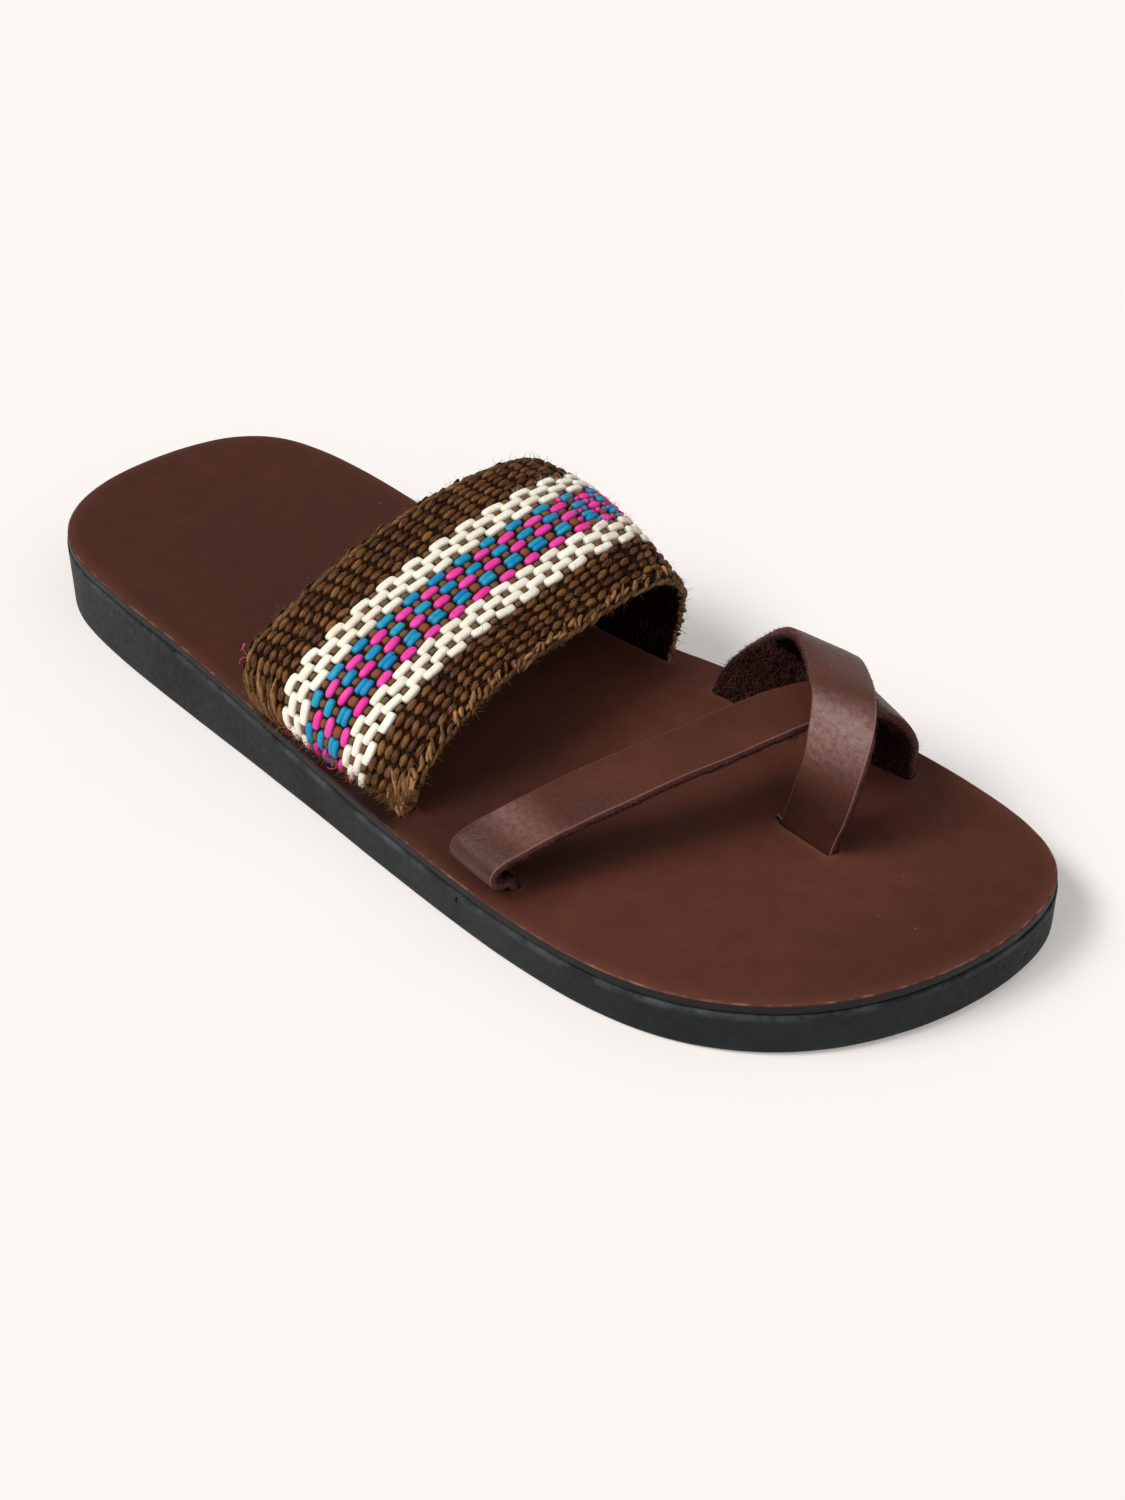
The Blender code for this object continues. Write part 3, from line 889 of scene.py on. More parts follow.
def strap_material(settings):
    """Chrome tanned strap leather: satin grain with fine wrinkles at its bends, raw fibrous cut edges."""
    material, node, shader = new_material("satin_strap_leather")
    flat = node("ShaderNodeAttribute", attribute_name="strap_mm").outputs["Vector"]
    side, bend, rim, soak, pull, depth = (
        node("ShaderNodeAttribute", attribute_name=name).outputs["Fac"]
        for name in ("side", "bend", "rim", "soak", "pull", "depth"))
    # the scales count swells in a millimetre: 0.06 is one in 17 mm, 0.7 one in 1.4 mm
    large = node("ShaderNodeTexNoise", {"Vector": flat, "Scale": 0.06, "Detail": 3.0})
    small = node("ShaderNodeTexNoise", {"Vector": flat, "Scale": 0.7, "Detail": 5.0, "Roughness": 0.65})
    tone = node("ShaderNodeMapRange", {"Value": large, "From Min": 0.35, "From Max": 0.65,
                                       "To Min": 0.65, "To Max": 0.0})
    # painted pale patches where the strap bends: on the slanting strap partly its grain drawn paler and
    # partly a painted highlight, on the toe loop a painted highlight; over the loop's crown it is painted
    # paler
    patchy = node("ShaderNodeMapRange", {"Value": small, "From Min": 0.35, "From Max": 0.65, "To Min": 0.35})
    drawn = node("ShaderNodeMath", {0: pull, 1: patchy}, operation="MULTIPLY")
    # the cut edge is raw; its pits between the fibres are painted dark as painted shade, more towards its
    # lower side
    fibres = node("ShaderNodeTexNoise", {"Vector": flat, "Scale": 1.7, "Detail": 4.0, "Roughness": 0.75})
    pits = node("ShaderNodeMath", {0: depth, 1: 0.36, 2: fibres}, operation="MULTIPLY_ADD")
    pitted = node("ShaderNodeMapRange", {"Value": pits, "From Min": 0.66, "From Max": 0.80})
    raw = node("ShaderNodeMix", {0: pitted, 6: settings.edge_colour, 7: linear("1a0c0c")}, data_type="RGBA")
    is_edge = node("ShaderNodeMapRange", {"Value": side, "From Min": 0.25, "From Max": 0.75})
    # painted shade darkens the grain near the strap's first end; painted pale patches and highlights follow,
    # and the rim is a painted highlight on the toe-side edge
    colour = settings.grain_colour
    coats = ((tone, settings.grain_dark), (soak, linear("22100c")), (drawn, linear("8c6a64")),
             (rim, linear("9c7064")), (is_edge, raw))
    for share, coat in coats:
        colour = node("ShaderNodeMix", {0: share, 6: colour, 7: coat}, data_type="RGBA")
    # wrinkles lie across the strap, close together where it bends
    squeezed = node("ShaderNodeMapping", {"Vector": flat, "Scale": (0.35, 1.15, 1.0)})
    wrinkle = node("ShaderNodeTexNoise", {"Vector": squeezed, "Scale": 1.0, "Detail": 4.0,
                                          "Roughness": 0.6, "Distortion": 0.6})
    shallow = node("ShaderNodeMath", {0: wrinkle, 1: 0.26}, operation="MULTIPLY")
    folds = node("ShaderNodeMath", {0: shallow, 1: bend}, operation="MULTIPLY")
    # pores 0.8 mm apart; a hide's own are usually finer and would hardly show
    pores = node("ShaderNodeTexVoronoi", {"Vector": flat, "Scale": 1.25}, feature="SMOOTH_F1")
    pebble = node("ShaderNodeTexNoise", {"Vector": flat, "Scale": 2.4, "Detail": 3.0, "Roughness": 0.6})
    grain = node("ShaderNodeMix", {0: 0.6, 2: pores, 3: pebble}, data_type="FLOAT")
    fuzz = node("ShaderNodeMath", {0: fibres, 1: is_edge}, operation="MULTIPLY")
    height = node("ShaderNodeMath", {0: folds, 1: grain}, operation="ADD")
    rise = node("ShaderNodeMath", {0: height, 1: fuzz}, operation="ADD")
    bump = node("ShaderNodeBump", {"Height": rise, "Strength": 0.5, "Distance": 0.0004})
    satin = node("ShaderNodeMapRange", {"Value": small, "From Min": 0.3, "From Max": 0.7,
                                        "To Min": 0.36, "To Max": 0.52})
    rough = node("ShaderNodeMix", {0: is_edge, 2: satin, 3: 0.9}, data_type="FLOAT")
    finish_shader(shader, colour, rough, 0.27, Normal=bump)
    return material


def flesh_material(settings):
    """The strap's split side, buffed like suede: dull, fibrous, and painted nearly black as painted shadow.
    """
    material, node, shader = new_material("suede_flesh_side")
    flat = node("ShaderNodeAttribute", attribute_name="strap_mm").outputs["Vector"]
    soak = node("ShaderNodeAttribute", attribute_name="soak").outputs["Fac"]
    fibres = node("ShaderNodeTexNoise", {"Vector": flat, "Scale": 1.3, "Detail": 5.0, "Roughness": 0.75})
    tufts = node("ShaderNodeMapRange", {"Value": fibres, "From Min": 0.4, "From Max": 0.66})
    flesh = node("ShaderNodeMix", {0: tufts, 6: linear("140808"), 7: settings.flesh_colour}, data_type="RGBA")
    colour = node("ShaderNodeMix", {0: soak, 6: flesh, 7: linear("080404")}, data_type="RGBA")
    bump = node("ShaderNodeBump", {"Height": fibres, "Strength": 0.7, "Distance": 0.0004})
    rough = node("ShaderNodeMapRange", {"Value": fibres, "To Min": 0.85, "To Max": 0.95})
    finish_shader(shader, colour, rough, 0.04, Normal=bump)
    return material


def yarn_material(name, colour, worn, spread, gap_shade, gloss):
    """Soft spun yarn: fibres run along each float; tone differs from float to float; painted shade darkens
    each float towards the gaps.
    """
    material, node, shader = new_material(name)
    flat = node("ShaderNodeAttribute", attribute_name="yarn_mm").outputs["Vector"]
    tone = node("ShaderNodeAttribute", attribute_name="tone").outputs["Fac"]
    depth = node("ShaderNodeAttribute", attribute_name="crown").outputs["Fac"]
    # plies about 0.4 mm wide, twisted a little against the float
    strands = node("ShaderNodeMapping", {"Vector": flat, "Scale": (2.4, 0.40, 1.0),
                                         "Rotation": (0.0, 0.0, math.radians(12.0))})
    fibre = node("ShaderNodeTexNoise", {"Vector": strands, "Scale": 1.0, "Detail": 4.0, "Roughness": 0.7})
    streak = node("ShaderNodeMapRange", {"Value": fibre, "From Min": 0.42, "From Max": 0.62})
    mixed = node("ShaderNodeMath", {0: streak, 1: 0.75, 2: tone}, operation="MULTIPLY_ADD")
    share = node("ShaderNodeMapRange", {"Value": mixed, "From Min": 0.3, "From Max": 1.45, "To Max": spread})
    dyed = node("ShaderNodeMix", {0: share, 6: colour, 7: worn}, data_type="RGBA")
    # painted shade: each float darkens towards its skirt, down in the gaps
    shade = node("ShaderNodeMapRange", {"Value": depth, "From Max": 0.75, "To Min": gap_shade, "To Max": 0.0})
    dark = node("ShaderNodeMix", {0: shade, 6: dyed, 7: [0.12 * c for c in colour]}, data_type="RGBA")
    bump = node("ShaderNodeBump", {"Height": fibre, "Strength": 0.55, "Distance": 0.0003})
    rough = node("ShaderNodeMapRange", {"Value": fibre, "To Min": 0.36, "To Max": 0.66})
    finish_shader(shader, dark, rough, gloss, Normal=bump)
    return material


def ground_material(settings):
    """The weft and packed yarn deep between the floats: brown and dull; its nearly black colour is partly
    painted shade deep in the pits.
    """
    material, node, shader = new_material("packed_weft")
    coords = node("ShaderNodeTexCoord").outputs["Object"]
    clump = node("ShaderNodeTexNoise", {"Vector": coords, "Scale": 1 / 0.0012, "Detail": 4.0,
                                        "Roughness": 0.7})
    share = node("ShaderNodeMapRange", {"Value": clump, "From Min": 0.45, "From Max": 0.85})
    colour = node("ShaderNodeMix", {0: share, 6: settings.ground_colour, 7: settings.brown_colour},
                  data_type="RGBA")
    bump = node("ShaderNodeBump", {"Height": clump, "Strength": 0.7, "Distance": 0.0004})
    rough = node("ShaderNodeMapRange", {"Value": clump, "To Min": 0.8, "To Max": 0.95})
    finish_shader(shader, colour, rough, 0.05, Normal=bump)
    return material


def fibre_material(name, colour, pale):
    """Loose fibres: fine, dull, a little lighter than the yarn or leather they stand on."""
    material, node, shader = new_material(name)
    coords = node("ShaderNodeTexCoord").outputs["Object"]
    patch = node("ShaderNodeTexNoise", {"Vector": coords, "Scale": 1 / 0.003})
    mixed = node("ShaderNodeMix", {0: patch, 6: colour, 7: pale}, data_type="RGBA")
    finish_shader(shader, mixed, 0.8, 0.05)
    return material


def floor_material(settings):
    """Translucent studio sheet, lit a little from below: pale, matt and even, with faint shadows."""
    material, node, shader = new_material("studio_paper")
    coords = node("ShaderNodeTexCoord").outputs["Object"]
    drift = node("ShaderNodeTexNoise", {"Vector": coords, "Scale": 2.0, "Detail": 1.0})
    share = 1.0 - settings.floor_glow
    pale = tuple(c * share * 0.985 for c in settings.floor_colour)
    white = tuple(c * share for c in settings.floor_colour)
    colour = node("ShaderNodeMix", {0: drift, 6: pale, 7: white}, data_type="RGBA")
    glow = {"Emission Color": settings.floor_colour, "Emission Strength": settings.floor_glow}
    finish_shader(shader, colour, 0.9, 0.0, **glow)
    return material


# ---------------------------------------------------------------- geometry node trees


def new_tree(name, inputs):
    """A geometry tree with named inputs after the geometry."""
    tree = bpy.data.node_groups.new(name, "GeometryNodeTree")
    tree.is_modifier = True
    tree.interface.new_socket("Geometry", in_out="INPUT", socket_type="NodeSocketGeometry")
    for label, kind in inputs:
        tree.interface.new_socket(label, in_out="INPUT", socket_type="NodeSocket" + kind)
    tree.interface.new_socket("Geometry", in_out="OUTPUT", socket_type="NodeSocketGeometry")
    return tree, add_node(tree, "NodeGroupInput").outputs


def run_tree(tree, mesh, values):
    """Evaluates a tree on a mesh and returns the result as a plain mesh."""
    obj = bpy.data.objects.new("work", mesh)
    bpy.context.scene.collection.objects.link(obj)
    modifier = obj.modifiers.new(tree.name, "NODES")
    modifier.node_group = tree
    for item in tree.interface.items_tree:
        if item.in_out == "INPUT" and item.name in values:
            modifier[item.identifier] = values[item.name]
    evaluated = obj.evaluated_get(bpy.context.evaluated_depsgraph_get())
    made = bpy.data.meshes.new_from_object(evaluated)
    obj.modifiers.remove(modifier)
    bpy.data.objects.remove(obj)
    return made


def yarn_tree():
    """Lays a float on every point of a chart, turned and sized by the chart's own columns."""
    tree, given = new_tree("lay_yarns", (("Float", "Object"), ("Unevenness", "Float"),
                                         ("Material", "Material")))
    columns = (("size", "FLOAT_VECTOR"), ("turn", "FLOAT_VECTOR"), ("hook", "FLOAT"), ("along", "FLOAT"))
    size, turn, hook, along = (
        add_node(tree, "GeometryNodeInputNamedAttribute", {"Name": name}, data_type=kind).outputs["Attribute"]
        for name, kind in columns)
    shape = add_node(tree, "GeometryNodeObjectInfo", {"Object": given["Float"]})
    laid = add_node(tree, "GeometryNodeInstanceOnPoints", {
        "Points": given["Geometry"], "Instance": shape.outputs["Geometry"], "Rotation": turn, "Scale": size})
    real = add_node(tree, "GeometryNodeRealizeInstances", {"Geometry": laid})
    # the floats beside the brown bend over towards it at one end
    square = add_node(tree, "ShaderNodeMath", {0: along, 1: 2.0}, operation="POWER")
    swing = add_node(tree, "ShaderNodeMath", {0: square, 1: hook}, operation="MULTIPLY")
    shift = add_node(tree, "ShaderNodeCombineXYZ", {"X": swing})
    bent = add_node(tree, "GeometryNodeSetPosition", {"Geometry": real, "Offset": shift})
    uneven = add_node(tree, "ShaderNodeTexNoise", {"Scale": 0.9, "Detail": 1.0})
    centred = add_node(tree, "ShaderNodeVectorMath", {0: uneven.outputs["Color"], 1: (0.5, 0.5, 0.5)},
                       operation="SUBTRACT")
    scaled = add_node(tree, "ShaderNodeVectorMath", {0: centred, "Scale": given["Unevenness"]},
                      operation="SCALE")
    rough = add_node(tree, "GeometryNodeSetPosition", {"Geometry": bent, "Offset": scaled})
    painted = add_node(tree, "GeometryNodeSetMaterial", {"Geometry": rough, "Material": given["Material"]})
    add_node(tree, "NodeGroupOutput", {"Geometry": painted})
    return tree


def fibre_tree():
    """Scatters thin fibres over a surface, leaning at random from its normal."""
    tree, given = new_tree("scatter_fibres", (("Fibre", "Object"), ("Density", "Float"),
                                              ("Shortest", "Float"), ("Longest", "Float"),
                                              ("Lean", "Float"), ("Seed", "Int"),
                                              ("Material", "Material")))
    spots = add_node(tree, "GeometryNodeDistributePointsOnFaces", {
        "Mesh": given["Geometry"], "Density": given["Density"], "Seed": given["Seed"]})
    shape = add_node(tree, "GeometryNodeObjectInfo", {"Object": given["Fibre"]})
    tilt = add_node(tree, "FunctionNodeRandomValue", {
        0: (-1.0, -1.0, -3.14), 1: (1.0, 1.0, 3.14), "Seed": given["Seed"]}, data_type="FLOAT_VECTOR")
    leaned = add_node(tree, "ShaderNodeVectorMath", {0: tilt, "Scale": given["Lean"]},
                      operation="SCALE")
    turned = add_node(tree, "FunctionNodeRotateRotation", {
        "Rotation": spots.outputs["Rotation"], "Rotate By": leaned}, rotation_space="LOCAL")
    length = add_node(tree, "FunctionNodeRandomValue", {
        2: given["Shortest"], 3: given["Longest"], "Seed": given["Seed"]}, data_type="FLOAT")
    laid = add_node(tree, "GeometryNodeInstanceOnPoints", {
        "Points": spots.outputs["Points"], "Instance": shape.outputs["Geometry"],
        "Rotation": turned, "Scale": length.outputs[1]})
    real = add_node(tree, "GeometryNodeRealizeInstances", {"Geometry": laid})
    painted = add_node(tree, "GeometryNodeSetMaterial", {"Geometry": real,
                                                         "Material": given["Material"]})
    add_node(tree, "NodeGroupOutput", {"Geometry": painted})
    return tree


def template(name, verts, faces, attributes=()):
    """A hidden object that a tree repeats; it is removed when its pieces are made."""
    mesh = new_mesh(name, verts, faces)
    mesh.shade_smooth()
    for label, values in attributes:
        store(mesh, label, values)
    obj = bpy.data.objects.new(name, mesh)
    bpy.context.scene.collection.objects.link(obj)
    obj.hide_render = True
    return obj


def float_shape(blunt, tip, end, flat):
    """A plump float of width 1, length 1 and height 1, open underneath; its length runs along Y."""
    across = np.array((-1.0, -0.86, -0.5, 0.0, 0.5, 0.86, 1.0))
    along = np.array((-1.0, -0.94, -0.78, -0.44, 0.0, 0.44, 0.78, 0.94, 1.0))
    verts = []
    for y in along:
        taper = max(1.0 - abs(y) ** blunt, 0.0) ** tip
        for x in across:
            height = max(1.0 - abs(x) ** flat, 0.0) ** 0.55 * max(1.0 - abs(y) ** blunt, 0.0) ** 0.45
            verts.append((x * (end + (1.0 - end) * taper) / 2.0, y / 2.0, height))
    verts = np.array(verts)
    columns = len(across)
    faces = [(r * columns + c, r * columns + c + 1, (r + 1) * columns + c + 1, (r + 1) * columns + c)
             for r in range(len(along) - 1) for c in range(columns - 1)]
    return template("float_shape", verts, faces, (("along", verts[:, 1] * 2.0),
                                                  ("aside", verts[:, 0] * 2.0),
                                                  ("crown", verts[:, 2])))


def fibre_shape(thickness):
    """A curved three-sided fibre of length 1 standing on Z."""
    verts = []
    heights = (0.0, 0.4, 0.75, 1.0)
    for z in heights:
        radius = thickness * (1.0 - 0.75 * z)
        for k in range(3):
            angle = math.tau * k / 3.0
            verts.append((radius * math.cos(angle) + 0.32 * z * z, radius * math.sin(angle), z))
    return template("fibre_shape", verts, tube_faces(len(heights) - 1, 3))


# ---------------------------------------------------------------- the sole


def raise_layer(plan, upper, lower, z_top, z_low, slot_floor):
    """A layer as points and faces: top sheet, side wall, underside and slot walls.

    Rows of the side are steps out of the ring, with depths under the top (upper) or heights over
    the underside (lower). Without a slot floor the slots go right through.
    """
    points = plan.points
    count = len(points)
    verts = [np.column_stack((points, z_top)), np.column_stack((points, z_low))]
    keep = plan.faces[plan.in_slot < 0]
    through = slot_floor is None
    faces = [tuple(f) for f in keep]
    faces += [tuple(int(i) + count for i in f[::-1]) for f in (keep if through else plan.faces)]
    ring = plan.outline[0]
    if not is_anticlockwise(points[ring]):
        ring = ring[::-1]
    outline = points[ring]
    steps = outward(outline)
    rows = [(out, z_top[ring] - down) for out, down in upper]
    rows += [(out, z_low[ring] + up) for out, up in lower]
    side_rings = []
    previous = ring
    total = 2 * count
    for out, z in rows:
        verts.append(np.column_stack((outline + steps * out, z)))
        ids = list(range(total, total + len(ring)))
        total += len(ring)
        faces += wall(previous, ids)
        previous = ids
        side_rings.append(ids)
    faces += wall(previous, [i + count for i in ring])
    for k, rings in enumerate(plan.slots):
        hole = rings[0]
        if is_anticlockwise(points[hole]):
            hole = hole[::-1]
        if through:
            faces += wall(hole, [i + count for i in hole])
        else:
            inner = plan.faces[plan.in_slot == k]
            used = sorted(set(inner.ravel().tolist()) | set(hole))
            ids = {old: total + n for n, old in enumerate(used)}
            verts.append(np.column_stack((points[used], np.full(len(used), slot_floor))))
            total += len(used)
            faces += wall(hole, [ids[i] for i in hole])
            faces += [tuple(ids[int(i)] for i in f) for f in inner]
    return np.vstack(verts), faces, side_rings


def build_rubber(settings):
    """The rubber sole under the footbed, with its slots' pockets."""
    plan = Plan(insets=(0.45, 1.6, 5.0), slot_play=0.3, slot_rings=(1.2,), step=4.5, ragged=0.0, seed=1)
    x = plan.points[:, 0]
    z_top = top_height(x) - FOOTBED_THICK - RUBBER_GAP
    upper = ((0.18, 0.04), (0.34, 0.14), (0.45, 0.36), (0.47, 0.8), (0.46, 1.6), (0.45, 2.6), (0.44, 4.2))
    lower = ((0.43, 4.0), (0.45, 2.4), (0.45, 1.2), (0.40, 0.5), (0.22, 0.14), (0.0, 0.02))
    verts, faces, rings = raise_layer(plan, upper, lower, z_top, bottom_height(x), POCKET_FLOOR)
    side = np.array(sum(rings, []))
    swell = wobble(verts[side], 16.0, 3) * 0.10 + wobble(verts[side], 5.0, 4) * 0.035
    verts[side, :2] += unit(verts[side, :2]) * swell[:, None]
    obj = mesh_piece("rubber_sole", verts, faces, rubber_material(settings), "outsole")
    edge_top = top_height(verts[:, 0]) - FOOTBED_THICK - RUBBER_GAP
    store(obj.data, "under_edge", edge_top - verts[:, 2])


def build_footbed(settings):
    """The leather footbed: a flat board with inked edges and six hand-cut slots."""
    plan = Plan(insets=(0.75, 1.1, 1.8, 3.2, 5.4), slot_play=0.28, slot_rings=(0.35, 0.9, 1.9),
                step=settings.fill_step / MM, ragged=0.07, seed=2)
    x = plan.points[:, 0]
    edge = plan.distance([plan.outline[0]])
    slot = plan.distance([rings[0] for rings in plan.slots])
    flat = np.column_stack((plan.points, np.zeros(len(x))))
    z_top = top_height(x)
    z_top = z_top + 0.16 * np.exp(-(slot / 0.9) ** 2) - 0.10 * np.exp(-((slot - 3.0) / 2.0) ** 2)
    z_top = z_top + 0.07 * wobble(flat, 38.0, 5) + 0.02 * wobble(flat, 7.0, 6)
    z_top = z_top - 0.10 * np.exp(-(edge / 0.8) ** 2)
    z_low = top_height(x) - FOOTBED_THICK
    upper = ((0.16, 0.05), (0.29, 0.16), (0.36, 0.34), (0.38, 0.62), (0.36, 1.1), (0.37, 1.6))
    lower = ((0.37, 0.7), (0.33, 0.25), (0.15, 0.03))
    verts, faces, rings = raise_layer(plan, upper, lower, z_top, z_low, None)
    side = np.array(sum(rings[2:], []))
    rough = wobble(verts[side], 9.0, 8) * 0.06 + wobble(verts[side], 1.6, 9) * 0.05
    verts[side, :2] += unit(verts[side, :2]) * rough[:, None]
    obj = mesh_piece("footbed", verts, faces, footbed_material(settings), "insole")
    total = len(verts)
    count = len(plan.points)
    dye = np.zeros(total)
    dye[count:] = 1.0
    dye[rings[0]] = 0.0
    dye[rings[1]] = 0.35
    rim = np.zeros(total)
    rim[plan.outline[0]] = 1.0
    rim[rings[0]] = 1.0
    rim[rings[1]] = 0.7
    fade = np.zeros(total)
    fade[:count] = 0.45 * np.exp(-(slot / 1.1) ** 2) + 0.25 * np.exp(-(edge / 2.0) ** 2)
    for rings_of_slot in plan.slots:
        dye[rings_of_slot[0]] = 0.4
    x, y = verts[:, 0], verts[:, 1]
    # darker towards the heel and the toe tip, and nearly black on the land outside the webbing's slot
    heel = 0.36 * (1.0 - ease(x, -60.0, 20.0))
    toe = 0.32 * ease(x, 98.0, 134.0)
    land = ease(-y, 43.5, 46.0) * ease(x, -38.0, -30.0) * (1.0 - ease(x, 14.0, 24.0))
    # painted shade on the outer side between webbing and strap, where the webbing and the strap cast their
    # shadow
    painted_shade_between_straps = 0.46 * ease(-y, -22.0, 34.0) * ease(x, 6.0, 22.0) * (1.0 - ease(x, 46.0, 68.0))
    deep = np.maximum(heel + toe + painted_shade_between_straps, 0.92 * land)
    store(obj.data, "edge_dye", dye)
    store(obj.data, "rim", rim * (1.0 - 0.8 * land))
    store(obj.data, "dye_fade", fade * (1.0 - land))
    store(obj.data, "dye_deep", deep)


# ---------------------------------------------------------------- leather straps


def strap_section(width, low, high, corner):
    """Round a strap: across, out, side (0 grain, 1 cut edge, 2 flesh), starting at the heel edge's top."""
    half = width / 2.0
    rounding = []
    for angle, side in ((60.0, 0.3), (30.0, 0.8)):
        a = math.radians(angle)
        rounding.append((half - corner + corner * math.cos(a), high - corner + corner * math.sin(a), side))
    rows = [(x, high, 0.0) for x in np.linspace(-half + corner, half - corner, 19)]
    rows += rounding
    rows += [(half, z, 1.0) for z in np.linspace(high - corner, low + corner, 6)]
    for x in np.linspace(half - corner * 0.4, -half + corner * 0.4, 15):
        rows.append((x, low, 2.0 if abs(x) < half - 1.0 else 1.3))
    rows += [(-half, z, 1.0) for z in np.linspace(low + corner, high - corner, 6)]
    rows += [(-x, z, side) for x, z, side in rounding[::-1]]
    return np.array(rows)


def build_strap(name, strap, width, low, high, node, materials, settings, seed, pale, crown, end_shade):
    """A leather strap: grain, cut edges and flesh side. pale is where along it the grain is painted pale, how
    far that reaches, and how strongly: a painted highlight, on the slanting strap partly its grain drawn
    paler over the bend."""
    section = strap_section(width, low, high, settings.corner / MM)
    rows = int(strap.length / (settings.row_step / MM))
    along = np.linspace(0.0, strap.length, rows + 1)
    count = len(section)
    s = np.repeat(along, count)
    x = np.tile(section[:, 0], rows + 1)
    z = np.tile(section[:, 1], rows + 1)
    side = np.tile(section[:, 2], rows + 1)
    ring = np.r_[0.0, np.cumsum(np.hypot(*np.diff(section[:, :2], axis=0).T))]
    around = np.tile(ring, rows + 1)
    flat = np.column_stack((x, s, z))
    local = np.interp(s, strap.along, strap.width)
    free = ease(s, HELD_END, FREE_END)
    free = free * (1.0 - ease(s, strap.length - FREE_END, strap.length - HELD_END))
    # the knife wandered a little, and the cut edge is fibrous
    wander = wobble(np.column_stack((np.sign(x) * 9.0, s, z * 0.0)), 11.0, seed) * 0.28
    sunk = (high - z) / (high - low)
    fibre = wobble(flat, 0.9, seed + 1) * 0.16 + wobble(flat, 2.5, seed + 2) * 0.14
    fibre = fibre * (0.5 + 1.4 * sunk) - 0.25 * sunk * sunk
    is_edge = np.where((side >= 0.8) & (side < 1.5), 1.0, 0.0)
    x = x + np.sign(x) * free * (is_edge * fibre + np.where(np.abs(x) > width * 0.35, wander, 0.0))
    # the flesh side is loose and uneven; the grain side is smooth, its edges drawn down a little
    z = z + np.where(side >= 1.3, wobble(flat, 1.4, seed + 3) * 0.16 * free, 0.0)
    grain = np.where(side < 0.5, 1.0, 0.0)
    drawn = ease(np.abs(x), width * 0.30, width * 0.52) * 0.16
    z = z - grain * drawn * free + grain * wobble(flat, 9.0, seed + 4) * 0.07 * free
    bend = ease(np.interp(s, strap.along, np.abs(strap.bend())), 0.02, 0.14)
    across = np.column_stack((x * 0.30, s, z * 0.0))
    z = z - grain * bend * free * np.abs(wobble(across, 1.5, seed + 5)) * 0.05
    verts = strap.wrap(0.5 + x / local, s, z)
    mesh = mesh_piece(name, verts, tube_faces(rows, count), materials[0], node).data
    mesh.materials.append(materials[1])
    for face in mesh.polygons:
        face.material_index = int(min(side[v] for v in face.vertices) > 1.3)
    # painted highlight: a pale line along the grain's edge on the toe side only
    rim = np.where((side > 0.2) & (side < 0.5) & (x > 0.0), 0.7, 0.0)
    middle, reach, share = pale
    pull = np.exp(-((s - middle - 0.25 * x) / reach) ** 2) * (share - 0.3 * x / width)
    pull = np.maximum(pull, crown * np.exp(-((s - LOOP_CROWN) / LOOP_CROWN_REACH) ** 2))
    store(mesh, "pull", pull * grain)
    # painted shadow: the flesh side is painted nearly black but for its loose inner end, and painted shade
    # darkens the grain side near the strap's first end
    inner_shadow = 0.92 * (1.0 - ease(s / strap.length, 0.72, 0.90))
    store(mesh, "soak", np.where(side >= 1.3, inner_shadow, end_shade * (1.0 - ease(s, 13.0, 30.0))))
    store(mesh, "side", side)
    store(mesh, "bend", bend)
    store(mesh, "rim", rim)
    store(mesh, "depth", sunk)
    pattern = np.column_stack((around + seed * PATTERN_SHIFT, s, np.zeros(len(s))))
    store(mesh, "strap_mm", pattern, "FLOAT_VECTOR")


# ---------------------------------------------------------------- the webbing


def column_layout():
    """Each warp column's letter and middle, from the webbing's heel edge, and the full width."""
    x = EDGE_CORD
    columns = []
    for letter in WARP_CHART:
        pitch = WARP_YARNS[letter][1]
        columns.append((letter, x + pitch / 2.0))
        x += pitch
    return columns, x + EDGE_CORD


def stripe_share(share, along):
    """At its outer end the webbing is squeezed towards the heel where it enters its slot."""
    squeeze = 1.0 - ease(along, 7.0, 34.0)
    pressed = np.interp(share, (0.0, 0.242, 0.763, 1.0), (0.0, 0.208, 0.722, 1.0))
    return share * (1.0 - squeeze) + pressed * squeeze


def spill(share, along, out):
    """Where its outer face comes out of the footbed the webbing bulges out over the slot's lip."""
    swell = ease(along, 4.0, 6.0) * (1.0 - ease(along, 8.0, 22.0))
    face = ease(out, -WEB_THICK / 2.0, -GROUND_DEPTH)
    return out + swell * face * np.interp(share, (0.0, 1.0), (SPILL_HEEL, SPILL_TOE))


def float_turn(lean, facing):
    """Turn of a float that leans against the warp and faces out, in, or off one edge."""
    about = {"out": 0.0, "in": math.pi, "toe": math.pi / 2.0, "heel": -math.pi / 2.0}[facing]
    turn = Matrix.Rotation(about, 3, "Y") @ Matrix.Rotation(lean, 3, "Z")
    return tuple(turn.to_euler("XYZ"))


